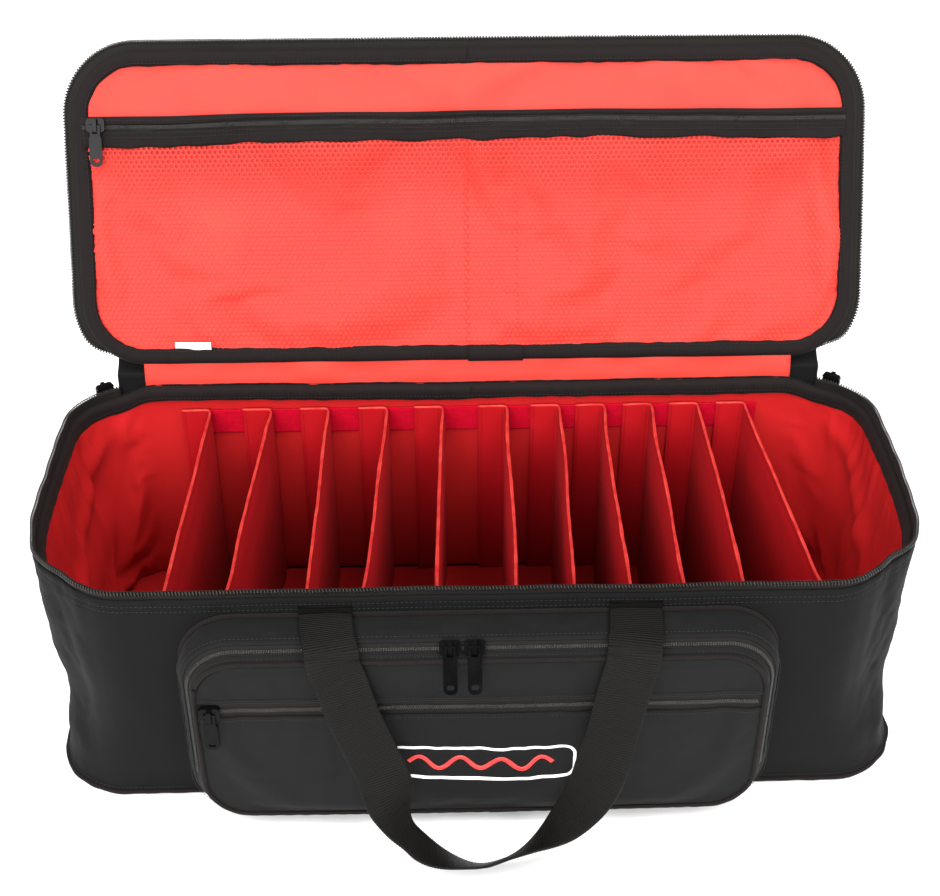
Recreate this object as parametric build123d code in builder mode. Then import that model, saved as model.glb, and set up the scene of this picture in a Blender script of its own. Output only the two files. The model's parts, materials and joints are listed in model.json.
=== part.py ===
"""Padded cable-organiser bag: a soft rectangular case with a hinged zip lid, eleven
lift-out dividers, a net pocket inside the lid, a front zip pocket and two webbing handles.

Millimetres. X runs along the bag, +Y to the back, +Z up. The origin is the centre of the
underside. The lid stands open, leaning back past the vertical.
"""
import os
from math import atan2, cos, hypot, radians, sin, sqrt

from build123d import *

# Body: outside of the outer fabric, and its layers from outside to inside.
LENGTH = 656.0
DEPTH = 268.0
CORNER = 55.0
FABRIC = 1.0
FOAM = 5.0
LINING = 0.8
WALL = FABRIC + FOAM + LINING
BASE_FABRIC = 1.2
BASE_BOARD = 3.0
FLOOR_TOP = BASE_FABRIC + BASE_BOARD + LINING

# Rim: bound wall edge, then the zipper tape and its coil standing up from it.
WALL_TOP = 190.0
BINDING = 2.5
BINDING_LIP = 1.2
LIP_DROP = 9.0
FABRIC_TOP = 194.0
TAPE_TOP = 200.0
COIL = 2.4
ZIP_END_X = 290.0

# Lid: hinge line at the top of the back wall, and the lid's size measured up from it.
HINGE_Y = 135.5
HINGE_Z = 208.5
LEAN = radians(25.7)
LID_WIDTH = 634.0
LID_LOW = 12.0
LID_HIGH = 262.0
LID_CORNER = 50.0
LID_BACK = -6.0
LID_FOAM_TOP = 2.7
LID_FACE = 3.5
LID_BINDING_TOP = 4.5
EDGE_BINDING = 1.5
EDGE_TAPE = 9.0
HINGE_GAP = 1.6
HINGE_HALF_OUTER = 288.0
HINGE_FOOT_Z = 185.0
HINGE_HALF_LINING = 270.0

# Net pocket in the lid: the zip band crosses the lid between two heights.
BAND_LOW = 191.0
BAND_HIGH = 210.0
NET_COIL_U = 205.0
NET_HALF = 311.0

# Front pocket: three outlines, at the wall, at the shoulder and at the front panel.
POCKET_ROOT_Y = 134.2
POCKET_SHOULDER_Y = 158.0
POCKET_BAND_Y = 171.0
POCKET_WIDTH = 426.0
POCKET_HEIGHT = 166.0
POCKET_MID_Z = 95.0
POCKET_CORNER = 38.0
POCKET_INSET = 11.0
POCKET_SKIN = 1.2
POCKET_ZIP_END_Z = 50.0
POCKET_CHAIN_HALF = 1.1
POCKET_CHAIN_SKIN = 0.8
PIPING = 3.0
FRONT_ZIP_Z = 124.0
FRONT_ZIP_BAND = 12.0
EMBLEM_Z = 70.0
EMBLEM_WIDE = 140.0
EMBLEM_HIGH = 30.0
EMBLEM_CORNER = 9.0
EMBLEM_LINE = 2.5
EMBLEM_THICK = 0.3
WAVES = 6
WAVE_STEP = 15.0
WAVE_HEIGHT = 5.0

# Webbing handles.
WEBBING = 38.0
WEBBING_THICK = 2.5
STRAP_X = 110.0
STRAP_Z = 181.2
STRAP_HINGE_Y = 136.5
LOOP_HINGE_Y = 173.0
LOOP_LENGTH = 184.8
LOOP_FAR_Y = 215.1
LOOP_TURN_X = 82.0
LOOP_TURN_RISE = 62.0
LOOP_GROUND = 1.6
STRAP_GAP = 1.7
REAR_DROP = 118.0
REAR_FOOT = 104.0
REAR_FOOT_TURN = 23.0
REAR_GROUND = 1.8

# Dividers: where each stands on the rear wall and on the front wall.
DIVIDER_REAR_X = (-218, -167, -119, -70, -23, 31, 75, 113, 153, 192, 232)
DIVIDER_FRONT_X = (-227, -182, -124, -84, -30, 27, 69, 110, 149, 192, 249)
DIVIDER_REACH = 125.2
DIVIDER_THICK = 4.0
DIVIDER_BOARD = 2.4
DIVIDER_BOTTOM = FLOOR_TOP + 0.3
DIVIDER_TOP = 182.0
FLANGE = 24.0
FLANGE_THICK = 1.8
STRIP_LOW = 156.0
STRIP_HIGH = 180.0
STRIP_THICK = 1.2
STRIP_HALF = 242.0

# Zipper slider and its pull.
SLIDER_LENGTH = 15.0
SLIDER_WIDTH = 11.0
SLIDER_TOP = 3.0
SLIDER_CLEAR = 0.4
CHAIN_WIDTH = 3.0
CHAIN_HEIGHT = 1.4
BRIDGE_Z = 4.1
PULL_LENGTH = 33.0
PULL_WIDTH = 10.0
PULL_THICK = 1.5
PULL_ARM = 2.1
PULL_ARM_X = 3.15
PULL_NECK = 7.0
PULL_BAR = 8.4
PULL_ROUND = 4.4
PULL_SLOT = (5.4, 3.4)
BRIDGE_WIDE = 3.4
BRIDGE_LONG = 9.8
BRIDGE_GAP = 7.0
BRIDGE_HIGH = 3.6
BRIDGE_CLEAR = 2.2
POCKET_LEFT_X = -21.5
POCKET_RIGHT_X = -4.5
FRONT_SLIDER_X = -192.0
MESH_SLIDER_X = -300.0
PARK_TURN = radians(33)

os.makedirs("parts", exist_ok=True)


def save(piece, name):
    """Labels a finished builder's part and writes its file."""
    piece.part.label = name
    export_step(piece.part, f"parts/{name}.step")


def body_ring(bottom, top, outer, inner):
    """A band that follows the bag's plan between two insets."""
    with BuildPart() as ring:
        with BuildSketch(Plane.XY.offset(bottom)):
            RectangleRounded(LENGTH - 2 * outer, DEPTH - 2 * outer, CORNER - outer)
            RectangleRounded(LENGTH - 2 * inner, DEPTH - 2 * inner, CORNER - inner, mode=Mode.SUBTRACT)
        extrude(amount=top - bottom)
    return ring


def body_plate(bottom, top, inset):
    """A flat sheet of the bag's plan, pulled in by an inset."""
    with BuildPart() as plate:
        with BuildSketch(Plane.XY.offset(bottom)):
            RectangleRounded(LENGTH - 2 * inset, DEPTH - 2 * inset, CORNER - inset)
        extrude(amount=top - bottom)
    return plate


# Base and walls, from the outside in.
base_fabric = body_plate(0, BASE_FABRIC, 0)
save(base_fabric, "base_fabric")

base_board = body_plate(BASE_FABRIC, BASE_FABRIC + BASE_BOARD, FABRIC + FOAM)
save(base_board, "base_board")

base_lining = body_plate(BASE_FABRIC + BASE_BOARD, FLOOR_TOP, FABRIC + FOAM)
save(base_lining, "base_lining")

wall_fabric = body_ring(BASE_FABRIC, FABRIC_TOP, 0, FABRIC)
save(wall_fabric, "wall_fabric")

wall_foam = body_ring(BASE_FABRIC, WALL_TOP, FABRIC, FABRIC + FOAM)
save(wall_foam, "wall_foam")

wall_lining = body_ring(FLOOR_TOP, WALL_TOP, FABRIC + FOAM, WALL)
save(wall_lining, "wall_lining")

# The binding caps the foam and the lining and turns down inside the bag.
with BuildPart() as rim_binding:
    with BuildSketch(Plane.XY.offset(WALL_TOP)):
        RectangleRounded(LENGTH - 2 * FABRIC, DEPTH - 2 * FABRIC, CORNER - FABRIC)
        inner = WALL + BINDING_LIP
        RectangleRounded(LENGTH - 2 * inner, DEPTH - 2 * inner, CORNER - inner, mode=Mode.SUBTRACT)
    extrude(amount=BINDING)
    with BuildSketch(Plane.XY.offset(WALL_TOP - LIP_DROP)):
        RectangleRounded(LENGTH - 2 * WALL, DEPTH - 2 * WALL, CORNER - WALL)
        RectangleRounded(LENGTH - 2 * inner, DEPTH - 2 * inner, CORNER - inner, mode=Mode.SUBTRACT)
    extrude(amount=LIP_DROP)
save(rim_binding, "rim_binding")


def open_backed_ring(bottom, top, outer, inner):
    """A band of the bag's plan that stops at the two ends of the hinge."""
    with BuildPart() as ring:
        with BuildSketch(Plane.XY.offset(bottom)):
            RectangleRounded(LENGTH - 2 * outer, DEPTH - 2 * outer, CORNER - outer)
            RectangleRounded(LENGTH - 2 * inner, DEPTH - 2 * inner, CORNER - inner, mode=Mode.SUBTRACT)
            with Locations((0, DEPTH / 2)):
                Rectangle(2 * ZIP_END_X, DEPTH / 2, mode=Mode.SUBTRACT)
        extrude(amount=top - bottom)
    return ring


rim_zipper_tape = open_backed_ring(WALL_TOP + BINDING, TAPE_TOP, FABRIC, 2 * FABRIC)
save(rim_zipper_tape, "rim_zipper_tape")

coil_outer = 1.5 * FABRIC - COIL / 2
rim_zipper_coil = open_backed_ring(TAPE_TOP, TAPE_TOP + COIL, coil_outer, coil_outer + COIL)
save(rim_zipper_coil, "rim_zipper_coil")

# Loop strips that hold the dividers, on the rear and front linings.
WALL_INSIDE_Y = DEPTH / 2 - WALL
with BuildPart() as loop_strips:
    with BuildSketch(Plane.XY.offset(STRIP_LOW)):
        strip_y = WALL_INSIDE_Y - STRIP_THICK / 2
        with Locations((0, strip_y), (0, -strip_y)):
            Rectangle(2 * STRIP_HALF, STRIP_THICK)
    extrude(amount=STRIP_HIGH - STRIP_LOW)
save(loop_strips, "loop_strips")

# Hinge strip: the lower half belongs to the bag, the upper half to the lid.
with BuildPart() as hinge_outer_lower:
    with BuildSketch(Plane.XY.offset(HINGE_FOOT_Z)):
        with Locations((0, DEPTH / 2 + FABRIC / 2)):
            Rectangle(2 * HINGE_HALF_OUTER, FABRIC)
    extrude(amount=HINGE_Z - HINGE_GAP - HINGE_FOOT_Z)
save(hinge_outer_lower, "hinge_outer_lower")

with BuildPart() as hinge_lining_lower:
    with BuildSketch(Plane.XY.offset(WALL_TOP + BINDING)):
        with Locations((0, DEPTH / 2 - FABRIC - LINING / 2)):
            Rectangle(2 * HINGE_HALF_LINING, LINING)
    extrude(amount=HINGE_Z - HINGE_GAP - WALL_TOP - BINDING)
save(hinge_lining_lower, "hinge_lining_lower")

# The lid's own plane: x along the bag, y up the lid from the hinge, z to the inside.
LID = Plane(origin=(0, HINGE_Y, HINGE_Z), x_dir=(1, 0, 0), z_dir=(0, -cos(LEAN), sin(LEAN)))
LID_MID = (LID_LOW + LID_HIGH) / 2
LID_HEIGHT = LID_HIGH - LID_LOW


def lid_plate(low, high, inset=0.0):
    """A flat sheet of the lid's outline between two depths."""
    with BuildPart() as plate:
        with BuildSketch(LID.offset(low)):
            with Locations((0, LID_MID)):
                RectangleRounded(LID_WIDTH - 2 * inset, LID_HEIGHT - 2 * inset, LID_CORNER - inset)
        extrude(amount=high - low)
    return plate


save(lid_plate(LID_BACK, LID_BACK + FABRIC), "lid_fabric")
save(lid_plate(LID_BACK + FABRIC, LID_FOAM_TOP), "lid_foam")
save(lid_plate(LID_FOAM_TOP, LID_FACE), "lid_lining")

with BuildPart() as lid_binding:
    with BuildSketch(LID.offset(LID_BACK)):
        with Locations((0, LID_MID)):
            around = 2 * EDGE_BINDING
            RectangleRounded(LID_WIDTH + around, LID_HEIGHT + around, LID_CORNER + EDGE_BINDING)
            RectangleRounded(LID_WIDTH, LID_HEIGHT, LID_CORNER, mode=Mode.SUBTRACT)
    extrude(amount=LID_BINDING_TOP - LID_BACK)
    with BuildSketch(LID.offset(LID_FACE)):
        with Locations((0, LID_MID)):
            RectangleRounded(LID_WIDTH + around, LID_HEIGHT + around, LID_CORNER + EDGE_BINDING)
            RectangleRounded(LID_WIDTH - 10, LID_HEIGHT - 10, LID_CORNER - 5, mode=Mode.SUBTRACT)
    extrude(amount=LID_BINDING_TOP - LID_FACE)
save(lid_binding, "lid_binding")


def lid_edge_ring(low, high, inner, outer):
    """A band around the lid's sides and top, open along the hinge."""
    with BuildPart() as ring:
        with BuildSketch(LID.offset(low)):
            with Locations((0, LID_MID)):
                RectangleRounded(LID_WIDTH + 2 * outer, LID_HEIGHT + 2 * outer, LID_CORNER + outer)
                hole = (LID_WIDTH + 2 * inner, LID_HEIGHT + 2 * inner)
                RectangleRounded(*hole, LID_CORNER + inner, mode=Mode.SUBTRACT)
            with Locations((0, 0)):
                Rectangle(2 * ZIP_END_X, 4 * LID_LOW, mode=Mode.SUBTRACT)
        extrude(amount=high - low)
    return ring


save(lid_edge_ring(-1, 0, EDGE_BINDING, EDGE_TAPE), "lid_zipper_tape")
save(lid_edge_ring(-1.7, 0.7, EDGE_TAPE, EDGE_TAPE + COIL), "lid_zipper_coil")


def lid_strip(low, high, half_width, bottom, top):
    """A rectangular strip across the lid."""
    with BuildPart() as strip:
        with BuildSketch(LID.offset(low)):
            with Locations((0, (bottom + top) / 2)):
                Rectangle(2 * half_width, top - bottom)
        extrude(amount=high - low)
    return strip


LID_EDGE_Y = LID_LOW - EDGE_BINDING
save(lid_strip(-1, 0, HINGE_HALF_OUTER, HINGE_GAP, LID_EDGE_Y), "hinge_outer_upper")
save(lid_strip(0.2, 1, HINGE_HALF_LINING, HINGE_GAP, LID_EDGE_Y), "hinge_lining_upper")

# Net pocket: the net itself, the zip band over its top edge and the band's coil.
NET_TOP = LID_FACE + 0.8
BAND_TOP = LID_BINDING_TOP + 0.7
with BuildPart() as mesh_pocket:
    with BuildSketch(LID.offset(LID_FACE + 0.2)):
        with Locations((0, LID_MID)):
            RectangleRounded(LID_WIDTH - 11, LID_HEIGHT - 11, LID_CORNER - 5.5)
        with Locations((0, (BAND_LOW + 4 + LID_HIGH) / 2)):
            Rectangle(LID_WIDTH, LID_HIGH - BAND_LOW - 4, mode=Mode.SUBTRACT)
    extrude(amount=NET_TOP - LID_FACE - 0.2)
save(mesh_pocket, "mesh_pocket")

save(lid_strip(LID_BINDING_TOP, BAND_TOP, NET_HALF, BAND_LOW, BAND_HIGH), "mesh_zip_tape")
coil_half = CHAIN_WIDTH / 2
coil_band = (NET_COIL_U - coil_half, NET_COIL_U + coil_half)
save(lid_strip(BAND_TOP, BAND_TOP + CHAIN_HEIGHT, NET_HALF - 1, *coil_band), "mesh_zip_coil")

with BuildPart() as care_label:
    with BuildSketch(LID.offset(LID_BINDING_TOP + 0.1)):
        with Locations((-229, 20.5)):
            Rectangle(30, 9)
    extrude(amount=0.4)
save(care_label, "care_label")


# Front pocket. Its outlines lie in planes of constant depth, in front of the wall.
def pocket_outline(inset, grow=0.0):
    """The pocket's outline in the current sketch, pulled in at the front."""
    wide = POCKET_WIDTH - 2 * inset + 2 * grow
    high = POCKET_HEIGHT - 2 * inset + 2 * grow
    RectangleRounded(wide, high, POCKET_CORNER - inset * 0.5 + grow)


def pocket_ring(start, end, start_inset, end_inset, skin):
    """A sleeve of the pocket's outline between two depths, tapering to the front."""
    with BuildPart() as ring:
        for hollow, mode in ((0, Mode.ADD), (skin, Mode.SUBTRACT)):
            with BuildSketch(Plane.XZ.offset(start)):
                with Locations((0, POCKET_MID_Z)):
                    pocket_outline(start_inset + hollow)
            with BuildSketch(Plane.XZ.offset(end)):
                with Locations((0, POCKET_MID_Z)):
                    pocket_outline(end_inset + hollow)
            loft(mode=mode)
    return ring


pocket_gusset_rear = pocket_ring(POCKET_ROOT_Y, POCKET_SHOULDER_Y, 0, 0, POCKET_SKIN)
save(pocket_gusset_rear, "pocket_gusset_rear")

BELOW_ZIP = Plane.XY.offset(POCKET_ZIP_END_Z)
zip_band = pocket_ring(POCKET_SHOULDER_Y, POCKET_BAND_Y, 0, POCKET_INSET, POCKET_SKIN * sqrt(2))
with BuildPart() as pocket_gusset_front:
    add(zip_band.part)
    split(bisect_by=BELOW_ZIP, keep=Keep.BOTTOM)
save(pocket_gusset_front, "pocket_gusset_front")

with BuildPart() as pocket_zipper_tape:
    add(zip_band.part)
    split(bisect_by=BELOW_ZIP, keep=Keep.TOP)
save(pocket_zipper_tape, "pocket_zipper_tape")

# The coil follows the middle of the zip band and stands out from it squarely.
BAND_DEPTH = POCKET_BAND_Y - POCKET_SHOULDER_Y
slant = atan2(POCKET_INSET, BAND_DEPTH)
half_share = POCKET_CHAIN_HALF / hypot(BAND_DEPTH, POCKET_INSET)
stand_forward = CHAIN_HEIGHT * sin(slant)
stand_out = CHAIN_HEIGHT * cos(slant)
coil_ring = pocket_ring(
    POCKET_SHOULDER_Y + (0.5 - half_share) * BAND_DEPTH + stand_forward,
    POCKET_SHOULDER_Y + (0.5 + half_share) * BAND_DEPTH + stand_forward,
    (0.5 - half_share) * POCKET_INSET - stand_out,
    (0.5 + half_share) * POCKET_INSET - stand_out,
    POCKET_CHAIN_SKIN,
)
with BuildPart() as pocket_zipper_coil:
    add(coil_ring.part)
    split(bisect_by=BELOW_ZIP, keep=Keep.TOP)
save(pocket_zipper_coil, "pocket_zipper_coil")

# Front panel in two pieces, with the zip band between them.
ZIP_LOW = FRONT_ZIP_Z - FRONT_ZIP_BAND / 2
ZIP_HIGH = FRONT_ZIP_Z + FRONT_ZIP_BAND / 2


def front_panel(low, high):
    """The part of the pocket's front panel between two heights."""
    with BuildPart() as panel:
        with BuildSketch(Plane.XZ.offset(POCKET_BAND_Y)):
            with Locations((0, POCKET_MID_Z)):
                pocket_outline(POCKET_INSET)
            with Locations((0, (low + high) / 2)):
                Rectangle(POCKET_WIDTH, high - low, mode=Mode.INTERSECT)
        extrude(amount=POCKET_SKIN)
    return panel


PANEL_FRONT_Y = POCKET_BAND_Y + POCKET_SKIN
save(front_panel(0, ZIP_LOW), "pocket_front_lower")
save(front_panel(ZIP_HIGH, POCKET_MID_Z + POCKET_HEIGHT), "pocket_front_upper")
save(front_panel(ZIP_LOW, ZIP_HIGH), "front_zip_tape")

with BuildPart() as front_zip_coil:
    with BuildSketch(Plane.XZ.offset(PANEL_FRONT_Y)):
        with Locations((0, FRONT_ZIP_Z)):
            Rectangle(POCKET_WIDTH - 2 * POCKET_INSET - 2 * PIPING, CHAIN_WIDTH)
    extrude(amount=CHAIN_HEIGHT)
save(front_zip_coil, "front_zip_coil")

# The backing sheet closes the flat zip pocket behind the front panel.
with BuildPart() as pocket_backing:
    with BuildSketch(Plane.XZ.offset(POCKET_BAND_Y - 4)):
        with Locations((0, POCKET_MID_Z)):
            pocket_outline(POCKET_INSET + 2)
    extrude(amount=LINING)
save(pocket_backing, "pocket_backing")

with BuildPart() as pocket_piping:
    with BuildSketch(Plane.XZ.offset(POCKET_BAND_Y)):
        with Locations((0, POCKET_MID_Z)):
            pocket_outline(POCKET_INSET, grow=PIPING / 2)
            pocket_outline(POCKET_INSET, grow=0.0)
    extrude(amount=PIPING)
    with BuildSketch(Plane.XZ.offset(POCKET_BAND_Y)):
        with Locations((0, POCKET_MID_Z)):
            pocket_outline(POCKET_INSET)
    extrude(amount=PIPING, mode=Mode.SUBTRACT)
save(pocket_piping, "pocket_piping")

# Printed emblem: a plain frame around one wavy line.
with BuildPart() as emblem:
    with BuildSketch(Plane.XZ.offset(PANEL_FRONT_Y)):
        with Locations((0, EMBLEM_Z)):
            RectangleRounded(EMBLEM_WIDE, EMBLEM_HIGH, EMBLEM_CORNER)
            hole_wide, hole_high = EMBLEM_WIDE - 2 * EMBLEM_LINE, EMBLEM_HIGH - 2 * EMBLEM_LINE
            RectangleRounded(hole_wide, hole_high, EMBLEM_CORNER - EMBLEM_LINE, mode=Mode.SUBTRACT)
        wave_start = -WAVE_STEP * WAVES / 2
        with BuildLine():
            for step in range(WAVES):
                x = wave_start + step * WAVE_STEP
                crest = WAVE_HEIGHT if step % 2 else -WAVE_HEIGHT
                ThreePointArc((x, EMBLEM_Z), (x + WAVE_STEP / 2, EMBLEM_Z + crest), (x + WAVE_STEP, EMBLEM_Z))
        trace(line_width=3)
    extrude(amount=EMBLEM_THICK)
save(emblem, "emblem")

# Handles. The front strap lies over the pocket top, then hangs down to the ground.
with BuildPart() as handle_front_straps:
    with BuildSketch(Plane.XY.offset(STRAP_Z - WEBBING_THICK / 2)):
        strap_start = STRAP_HINGE_Y + STRAP_GAP
        strap_end = LOOP_HINGE_Y - STRAP_GAP
        with Locations((STRAP_X, -(strap_start + strap_end) / 2), (-STRAP_X, -(strap_start + strap_end) / 2)):
            Rectangle(WEBBING, strap_end - strap_start)
    extrude(amount=WEBBING_THICK)
save(handle_front_straps, "handle_front_straps")


def turned_webbing(plane, start_y, turn_y, top_x):
    """A flat webbing U: two legs drawn together, joined by an arc at the bottom."""
    lean = atan2(top_x - LOOP_TURN_X, turn_y - start_y)
    radius = LOOP_TURN_X / cos(lean)
    low_y = turn_y - radius * sin(lean) + radius
    with BuildPart() as band:
        with BuildSketch(plane):
            with BuildLine():
                left = Line((-top_x, -start_y), (-LOOP_TURN_X, -turn_y))
                turn = ThreePointArc(left @ 1, (0, -low_y), (LOOP_TURN_X, -turn_y))
                Line(turn @ 1, (top_x, -start_y))
            trace(line_width=WEBBING)
            with Locations((0, WEBBING / 2 - start_y)):
                Rectangle(4 * top_x, WEBBING, mode=Mode.SUBTRACT)
        extrude(amount=WEBBING_THICK / 2, both=True)
    return band


# The loop's plane runs from the pocket's top edge out to the ground.
loop_dir = Vector(0, LOOP_HINGE_Y - LOOP_FAR_Y, LOOP_GROUND - STRAP_Z).normalized()
loop_normal = Vector(1, 0, 0).cross(-loop_dir)
FRONT_LOOP = Plane(origin=(0, -LOOP_HINGE_Y, STRAP_Z), x_dir=(1, 0, 0), z_dir=loop_normal)
loop_turn = LOOP_LENGTH - WEBBING / 2 - LOOP_TURN_RISE
handle_front_loop = turned_webbing(FRONT_LOOP, STRAP_GAP, loop_turn, STRAP_X)
save(handle_front_loop, "handle_front_loop")

# The rear handle hangs down the back wall and its loop kicks out to the ground.
REAR_Y = STRAP_HINGE_Y + WEBBING_THICK / 2
foot_drop = STRAP_Z - REAR_DROP - REAR_GROUND
foot_dir = Vector(0, sqrt(REAR_FOOT ** 2 - foot_drop ** 2), -foot_drop).normalized()
REAR_TOP = Plane(origin=(0, REAR_Y, STRAP_Z), x_dir=(1, 0, 0), z_dir=(0, -1, 0))
REAR_LOW = Plane(
    origin=(0, REAR_Y, STRAP_Z - REAR_DROP), x_dir=(1, 0, 0), z_dir=Vector(1, 0, 0).cross(-foot_dir)
)
REAR_BEND_X = STRAP_X - (STRAP_X - LOOP_TURN_X) * REAR_DROP / (REAR_DROP + REAR_FOOT_TURN)
rear_foot = turned_webbing(REAR_LOW, 0, REAR_FOOT_TURN, REAR_BEND_X)
with BuildPart() as handle_rear:
    add(rear_foot.part)
    with BuildSketch(REAR_TOP):
        with BuildLine():
            Line((-STRAP_X, -STRAP_GAP), (-REAR_BEND_X, -REAR_DROP))
        trace(line_width=WEBBING)
        mirror(about=Plane.YZ)
    extrude(amount=WEBBING_THICK / 2, both=True)
save(handle_rear, "handle_rear")


# Dividers: a sewn cover with a stiff board in it and hook strips on its end flanges.
def divider(rear_x, front_x):
    """One divider, standing between its places on the rear and front walls."""
    slope = atan2(rear_x - front_x, 2 * DIVIDER_REACH)
    length = 2 * DIVIDER_REACH / cos(slope) - 1
    height = DIVIDER_TOP - DIVIDER_BOTTOM
    middle = Plane(
        origin=((rear_x + front_x) / 2, 0, DIVIDER_BOTTOM), x_dir=(sin(slope), cos(slope), 0), z_dir=(0, 0, 1)
    )
    board_size = (length - 4, DIVIDER_BOARD)
    with BuildPart() as board:
        with BuildSketch(middle):
            Rectangle(*board_size)
        extrude(amount=height - 1)
    with BuildPart() as cover:
        with BuildSketch(middle):
            Rectangle(length, DIVIDER_THICK)
        extrude(amount=height)
        with BuildSketch(Plane.XY.offset(DIVIDER_BOTTOM)):
            for wall_x, side in ((rear_x, 1), (front_x, -1)):
                with Locations((wall_x - FLANGE / 2, side * (DIVIDER_REACH - FLANGE_THICK / 2))):
                    Rectangle(FLANGE, FLANGE_THICK)
        extrude(amount=height)
        with BuildSketch(middle):
            Rectangle(*board_size)
        extrude(amount=height - 1, mode=Mode.SUBTRACT)
    with BuildPart() as hooks:
        with BuildSketch(Plane.XY.offset(STRIP_LOW)):
            for wall_x, side in ((rear_x, 1), (front_x, -1)):
                with Locations((wall_x - FLANGE / 2, side * (DIVIDER_REACH + 0.2))):
                    Rectangle(FLANGE - 4, 0.4)
        extrude(amount=STRIP_HIGH - STRIP_LOW)
    return Compound(children=[*cover.part.solids(), *board.part.solids(), *hooks.part.solids()])


for number, (rear_x, front_x) in enumerate(zip(DIVIDER_REAR_X, DIVIDER_FRONT_X), 1):
    name = f"divider_{number:02d}"
    made = divider(rear_x, front_x)
    made.label = name
    export_step(made, f"parts/{name}.step")


# Zipper sliders and pulls. The place's x runs along the chain, its z away from it.
def slider(place):
    """A slider that straddles the coil, with a bridge for the pull on top."""
    with BuildPart() as body:
        with BuildSketch(place.offset(SLIDER_CLEAR - CHAIN_HEIGHT)):
            RectangleRounded(SLIDER_LENGTH, SLIDER_WIDTH, 3)
        extrude(amount=SLIDER_TOP + CHAIN_HEIGHT - SLIDER_CLEAR)
        with BuildSketch(place.offset(SLIDER_CLEAR - CHAIN_HEIGHT)):
            Rectangle(2 * SLIDER_LENGTH, CHAIN_WIDTH + 2 * SLIDER_CLEAR)
        extrude(amount=CHAIN_HEIGHT, mode=Mode.SUBTRACT)
        with BuildSketch(place.offset(SLIDER_TOP)):
            Rectangle(BRIDGE_WIDE, BRIDGE_LONG)
        extrude(amount=BRIDGE_HIGH)
        with BuildSketch(place.offset(SLIDER_TOP)):
            Rectangle(BRIDGE_WIDE, BRIDGE_GAP)
        extrude(amount=BRIDGE_CLEAR, mode=Mode.SUBTRACT)
    return body


def pull(place):
    """A pull whose crossbar turns under the bridge and whose plate hangs from it."""
    with BuildPart() as tab:
        with BuildSketch(place.offset(BRIDGE_Z - PULL_THICK / 2)):
            for arm_x in (-PULL_ARM_X, PULL_ARM_X):
                with Locations((arm_x, -(PULL_NECK + 1) / 2)):
                    Rectangle(PULL_ARM, PULL_NECK + 1)
            with Locations((0, -(PULL_LENGTH + PULL_NECK) / 2)):
                RectangleRounded(PULL_WIDTH, PULL_LENGTH - PULL_NECK, PULL_ROUND)
            with Locations((0, -PULL_LENGTH + 5)):
                SlotOverall(*PULL_SLOT, mode=Mode.SUBTRACT)
        extrude(amount=PULL_THICK)
        with BuildSketch(Plane(place.from_local_coords((-PULL_BAR / 2, 0, BRIDGE_Z)), z_dir=place.x_dir)):
            Circle(PULL_THICK / 2)
        extrude(amount=PULL_BAR)
    return tab


def chain_place(x, y, z, outward):
    """A frame on a chain that runs along X: outward points away from the cloth."""
    return Plane(origin=(x, y, z), x_dir=(1, 0, 0), z_dir=outward)


FRONT_PLACE = chain_place(FRONT_SLIDER_X, -(PANEL_FRONT_Y + CHAIN_HEIGHT), FRONT_ZIP_Z, (0, -1, 0))
save(slider(FRONT_PLACE), "front_zip_slider")
save(pull(FRONT_PLACE), "front_zip_pull")

# The pocket's two sliders meet on the slanted band at the top; they face up and out.
band_mid_y = POCKET_SHOULDER_Y + 0.5 * BAND_DEPTH
band_mid_z = POCKET_MID_Z + POCKET_HEIGHT / 2 - 0.5 * POCKET_INSET
band_out = (0, -sin(slant), cos(slant))
for side, chain_x in (("left", POCKET_LEFT_X), ("right", POCKET_RIGHT_X)):
    base = chain_place(chain_x, -band_mid_y, band_mid_z, band_out)
    seat = base.offset(CHAIN_HEIGHT)
    save(slider(seat), f"pocket_slider_{side}")
    save(pull(seat), f"pocket_pull_{side}")

net_origin = LID.from_local_coords((MESH_SLIDER_X, NET_COIL_U, BAND_TOP + CHAIN_HEIGHT))
NET_PLACE = Plane(origin=net_origin, x_dir=(1, 0, 0), z_dir=LID.z_dir)
save(slider(NET_PLACE), "mesh_slider")
save(pull(NET_PLACE), "mesh_pull")

# The main zip's two sliders are parked where the chain ends, on the back corners.
def main_place(side):
    """The chain's frame on the back corner of one end: side is -1 or +1."""
    out_x = side * sin(PARK_TURN)
    out_y = cos(PARK_TURN)
    reach = CORNER + 0.2
    corner_x = side * (LENGTH / 2 - CORNER)
    corner_y = DEPTH / 2 - CORNER
    origin = (corner_x + reach * out_x, corner_y + reach * out_y, TAPE_TOP + COIL / 2)
    return Plane(origin=origin, x_dir=(-out_y, out_x, 0), z_dir=(out_x, out_y, 0))


with BuildPart() as main_sliders:
    for side in (-1, 1):
        add(slider(main_place(side)).part)
save(main_sliders, "main_sliders")
save(pull(main_place(-1)), "main_pull_left")
save(pull(main_place(1)), "main_pull_right")
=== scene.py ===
import json
import math

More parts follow.
